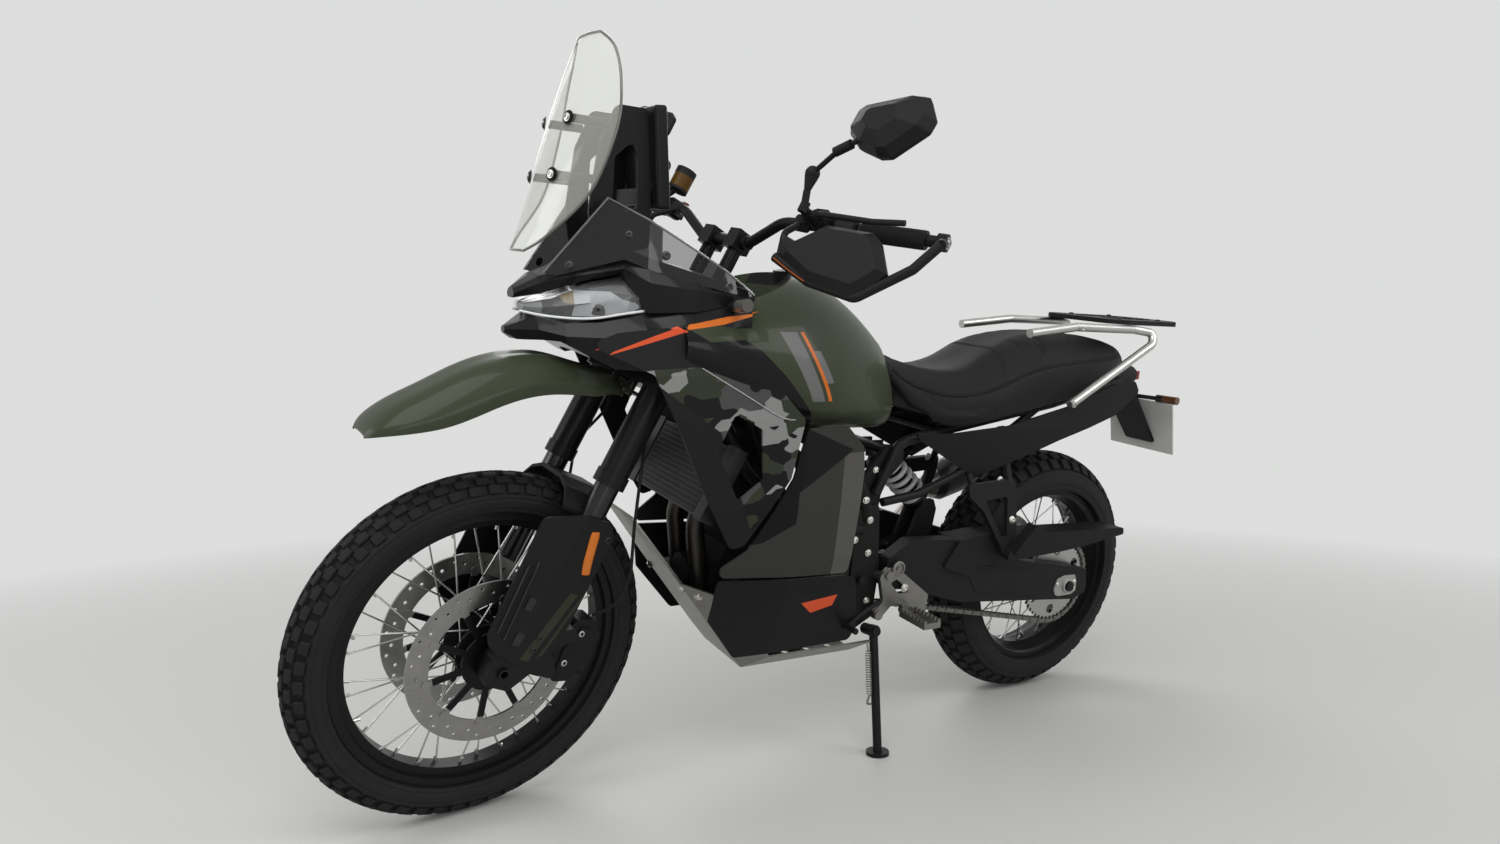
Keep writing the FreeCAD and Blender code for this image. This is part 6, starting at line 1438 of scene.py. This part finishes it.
for height, radius, width in ((0.0, 0.0165, 0.036), (shock_length, 0.0155, 0.032)):
    half_eye = [(width / 2, 0.006), (width / 2, radius - 0.001), (width / 2 - 0.001, radius)]
    eye = spun("shock_eye", [(-across, reach) for across, reach in half_eye] + half_eye[::-1], 28)
    eye.transform(Matrix.Translation((0, height, 0)) @ Matrix.Rotation(-math.pi / 2, 4, "Z"))
    damper_meshes.append(eye)
notch = block("collar_notch", (-0.0022, shock_length - 0.0458, 0.0355),
              (0.0022, shock_length - 0.0402, 0.0385), 0.0006)
damper_meshes.append(grown("collar_notches", notch, axle_ring, Count=12, Finish=damper_black))
mesh_piece("shock_body", joined_mesh("shock_body", damper_meshes), "chassis", damper_black,
           shock_place, 35)
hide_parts("rear_shock")


# Tail: bent alloy grab rails, a slotted luggage plate, and a plate holder with slim indicators.
# The rails are bead blasted; every fastener here is a black or bright socket screw.
rail_alloy = finish("rail_alloy", (0.46, 0.455, 0.44), 0.34, metal=0.95, mottle=0.10, patch=20, grain=1200,
                    relief=0.0002)
wear(rail_alloy, "grab_rails")
rack_slots = [(-0.300, 0.052), (-0.250, 0.066), (-0.200, 0.070), (-0.150, 0.062)]
slot_half = 0.008
slot_inner = 0.020
rack_top = 1.036
rack_black = finish("rack_black", (0.011, 0.011, 0.012), 0.46, grain=900, relief=0.0006)
slot_masks = []
for ahead, reach in rack_slots:
    for side in (1, -1):
        slot_faces = [((ahead - slot_half, 0, 0), (1, 0, 0)), ((ahead + slot_half, 0, 0), (-1, 0, 0)),
                      ((0, side * slot_inner, 0), (0, side, 0)), ((0, side * reach, 0), (0, -side, 0))]
        slot_masks.append(both_of(rack_black, *[side_of(rack_black, machine, point, normal)
                                                for point, normal in slot_faces]))
# The slots are painted near black: painted shade in their openings.
paint_over(rack_black, either(rack_black, *slot_masks), opening_shade, 0.7)
wear(rack_black, "rack_plate")
rack_ribs = []
for ahead, reach in rack_slots:
    for low, high in ((slot_inner, reach), (-reach, -slot_inner)):
        for edge_ahead in (ahead - slot_half - 0.001, ahead + slot_half + 0.001):
            rack_ribs.append(block("rack_rib", (edge_ahead - 0.0015, low, rack_top - 0.0015),
                                   (edge_ahead + 0.0015, high, rack_top + 0.0015), 0.0008))
mesh_piece("rack_ribs", joined_mesh("rack_ribs", rack_ribs), "chassis", rack_black, machine,
           30)
rack_screws = [((-222 + across, side, 1036), (0, 0, 1)) for across in (-80, 80) for side in (-80, 80)]
screws("rack_screws", "chassis", machine, rack_screws, screw_black, 0.0062)
rail_screws = mirrored_spots([((108, 176.5, 826), (0.1, 1, 0)), ((52, 123, 1008), (0, 0.6, 0.8))])
screws("rail_screws", "chassis", machine, rail_screws, screw_steel, 0.0062)
plate_blank = finish("plate_blank", (0.56, 0.57, 0.55), 0.38, mottle=0.03)
wear(plate_blank, "number_plate")
plate_place = Matrix.Translation((-0.428, 0, 0.660)) @ Matrix.Rotation(math.radians(14), 4, "Y")
rim_rise = 0.0022
rim_sides = [((-0.105, 0.0), (0.105, 0.003)), ((-0.105, 0.147), (0.105, 0.150)),
             ((-0.105, 0.0), (-0.102, 0.150)), ((0.102, 0.0), (0.105, 0.150))]
plate_rim = [block("plate_rim", (-rim_rise, *low), (0.0, *high), 0.0005, plate_place)
             for low, high in rim_sides]
mesh_piece("plate_rim", joined_mesh("plate_rim", plate_rim), "chassis", plate_blank, machine,
           30)
plate_screws = [((-2, side * 60, 132), rear_out) for side in (1, -1)]
screws("plate_screws", "chassis", machine @ plate_place, plate_screws, screw_steel, 0.005,
       0.003)
rear_stalk_top = 0.842
rear_stalk_end = 0.110
indicator_amber = (0.10, 0.045, 0.02)
lamp_red = finish("lamp_red", (0.24, 0.008, 0.008), 0.14, mottle=0.05, coat=0.7)
under_lamp = side_of(lamp_red, machine, (0, 0, rear_stalk_top), (0, 0, -1))
paint_over(lamp_red, both_of(lamp_red, under_lamp, within(lamp_red, rear_stalk_end)), stalk_black, 0.5)
paint_over(lamp_red, both_of(lamp_red, under_lamp, beyond(lamp_red, rear_stalk_end)), indicator_amber, 0.15)
wear(lamp_red, "rear_lamps")


# Fasteners and small fittings of the frame: bright bolts on its plates, and round bosses at the pegs.
# The positions are the photo's; the right side repeats them, as both sides have the same plates.
bolt_bright = finish("bolt_bright", (0.62, 0.61, 0.58), 0.24, metal=1.0, mottle=0.06)
boss_grey = finish("boss_grey", (0.20, 0.195, 0.185), 0.38, metal=0.7)
bolt_height = 0.005
frame_bolts = [((679, 136, 565), left_out), ((669, 128, 485), left_out), ((710, 128, 519), left_out),
               ((696, 136, 612), (0.22, 0.97, -0.07)), ((664, 120, 675), left_out),
               ((660, 128, 371), left_out)]
screws("frame_bolts", "chassis", machine, mirrored_spots(frame_bolts), bolt_bright, 0.0062,
       bolt_height)
peg_bolts = [((258, 163.0, 539), (0, 0.98, 0.21)), ((283, 131, 633), left_out), ((574, 156, 400), left_out)]
screws("peg_bolts", "chassis", machine, mirrored_spots(peg_bolts), bolt_bright, 0.0075,
       bolt_height)
boss_profile = [(-0.0005, 0.0175), (0.0045, 0.0175), (0.0055, 0.0160), (0.0055, 0.0130), (0.0020, 0.0120),
                (0.0020, 0.0060), (0.0050, 0.0055), (0.0050, 0.0005), (-0.0005, 0.0005)]
boss_mesh = spun("peg_boss", boss_profile, 32)
boss_mesh.transform(Matrix.Translation((0.600, 0.156, 0.450)))
mesh_piece("peg_bosses", both_sides(boss_mesh), "chassis", boss_grey, machine, 35)


# Axle plates of the swingarm: a bright plate with a washer ring round each end of the rear axle.
# A chain adjuster's bolt stands out of the arm's end behind it.
adjuster_alloy = finish("adjuster_alloy", (0.36, 0.355, 0.34), 0.36, metal=0.8, mottle=0.2)
plate_outline = [(0.046, -0.020), (0.052, -0.004), (0.044, 0.022), (0.016, 0.030), (-0.024, 0.028),
                 (-0.034, 0.010), (-0.034, -0.018), (-0.018, -0.026), (0.030, -0.026)]
axle_plate = slab("axle_plate", [(-ahead, up) for ahead, up in plate_outline],
                  upright((0, 145.5, 333.5), left_out), 0.0030, 0.0012)
washer_profile = [(0.0, 0.0195), (0.0035, 0.0195), (0.0045, 0.0180), (0.0045, 0.0145), (0.0015, 0.0140),
                  (0.0015, 0.0060), (0.0, 0.0060)]
axle_washer = spun("axle_washer", washer_profile, 36)
axle_washer.transform(Matrix.Translation((0, 0.1484, rear_radius)))
adjuster_bolt = swept("adjuster_bolt", [(-0.036, 0.134, 0.3335), (-0.060, 0.134, 0.3315)], 0.0042, 12, 2)
adjuster_nut = swept("adjuster_nut", [(-0.046, 0.134, 0.3327), (-0.053, 0.134, 0.3321)], 0.0078, 6, 1)
adjuster_meshes = [axle_plate, axle_washer, adjuster_bolt, adjuster_nut]
mesh_piece("axle_plates", both_sides(joined_mesh("axle_plates", adjuster_meshes)), "chassis", adjuster_alloy,
           machine, 35)
plate_bolts = [((ahead, 148.4, up), left_out) for ahead, up in ((-24, 343), (-24, 324), (40, 342))]
screws("axle_plate_bolts", "chassis", machine, mirrored_spots(plate_bolts), bolt_bright,
       0.0042, 0.003)


# Skid plate's fasteners: on each side two bright screws, and between them a thin dark plate, painted shade
# that stands for a slot.
# They sit on the plate's bent side face.
skid_normal = (0.6, 0.66, -0.45)
skid_spots = [((1112, 78, 438), skid_normal), ((1082, 99, 422), skid_normal)]
screws("skid_screws", "chassis", machine, mirrored_spots(skid_spots), bolt_bright, 0.0065)
# The slot's dark plate is painted shade in the slot's opening.
skid_slot_shade = finish("skid_slot_shade", (0.04, 0.04, 0.04), 0.5, metal=0.4)
skid_place = upright((1096, 92, 433), skid_normal)
skid_slot = block("skid_slot", (-0.016, -0.003, -0.0005), (0.016, 0.003, 0.0008), 0.0006, skid_place)
mesh_piece("skid_slots", both_sides(skid_slot), "chassis", skid_slot_shade, machine, 35)


# Side stand: a black forged leg that folds back beside the swingarm, its foot flat on the floor.
# Its return spring is a small bright coil from a hook on the lug to one on the leg.
wear(frame_coat, "side_stand")
stand_spring_start = Vector((0.670, 0.164, 0.268))
stand_spring_end = Vector((0.674, 0.190, 0.166))
stand_coil_radius = 0.0058
stand_coil_turns = 20
stand_spring_steps = 360
stand_spring_way = stand_spring_end - stand_spring_start
coil_across = stand_spring_way.orthogonal().normalized()
coil_third = stand_spring_way.normalized().cross(coil_across)
stand_spring_points = []
for step in range(stand_spring_steps + 1):
    share = step / stand_spring_steps
    turn = 2 * math.pi * stand_coil_turns * share
    reach = stand_coil_radius * min(1.0, share * 20, (1 - share) * 20)
    stand_spring_points.append(stand_spring_start + stand_spring_way * share
                               + reach * (math.cos(turn) * coil_across + math.sin(turn) * coil_third))
spring_wire = swept("stand_spring", stand_spring_points, 0.0014, 6, 1)
hook_lines = [[(0.654, 0.156, 0.284), (0.668, 0.158, 0.282), stand_spring_start],
              [stand_spring_end, (0.678, 0.190, 0.150), (0.661, 0.190, 0.146)]]
stand_meshes = [spring_wire] + [swept("spring_hook", line, 0.0024, 8, 3) for line in hook_lines]
mesh_piece("stand_spring", joined_mesh("stand_spring", stand_meshes), "side_stand", boss_grey,
           machine, 60)


# Radiator core: flat tubes across it with folded fins between them, shown on its front face.
# It leans back with the steering head and stands just behind the fork.
core_alloy = finish("core_alloy", (0.030, 0.030, 0.031), 0.45, metal=0.5)
raked = axes_at(fork.to_translation(), machine_left.cross(steering_up), machine_left, steering_up)
core_foot = 0.416
core_half = 0.135
tube_count = 14
tube_pitch = 0.0105
fin_count = 91
fin_pitch = 0.0030
untwisted = (0, 0, 0)
tube_unit = block("core_tube", (-0.1645, -0.136, 0), (-0.1628, 0.136, 0.0022), 0.0005)
core_tubes = [(Vector((0, 0, core_foot + row * tube_pitch)), untwisted) for row in range(tube_count)]
fin_unit = block("core_fin", (-0.1643, 0, 0.412), (-0.1636, 0.0005, 0.556), 0.0001)
core_fins = [(Vector((0, -core_half + column * fin_pitch, 0)), untwisted) for column in range(fin_count)]
core_meshes = [set_on("core_tubes", core_tubes, tube_unit, core_alloy),
               set_on("core_fins", core_fins, fin_unit, core_alloy)]
mesh_piece("radiator_core", joined_mesh("radiator_core", core_meshes), "chassis", core_alloy,
           raked, 35)


# Swingarm's pressed outline: a raised rib round the long recess on each arm's outer face.
# It is formed in the sheet, and wears the arm's own black coat.
arm_face = 0.1462
arm_lines = [[(0.374, 0.430), (0.250, 0.410), (0.112, 0.389)],
             [(0.374, 0.430), (0.330, 0.354), (0.220, 0.337), (0.114, 0.320)]]
arm_meshes = [swept("arm_rib", [(ahead, arm_face, up) for ahead, up in line], 0.0018, 8, 2)
              for line in arm_lines]
arm_ribs = joined_mesh("arm_ribs", arm_meshes)
mesh_piece("arm_ribs", both_sides(arm_ribs), "chassis", cast_black, machine, 50)
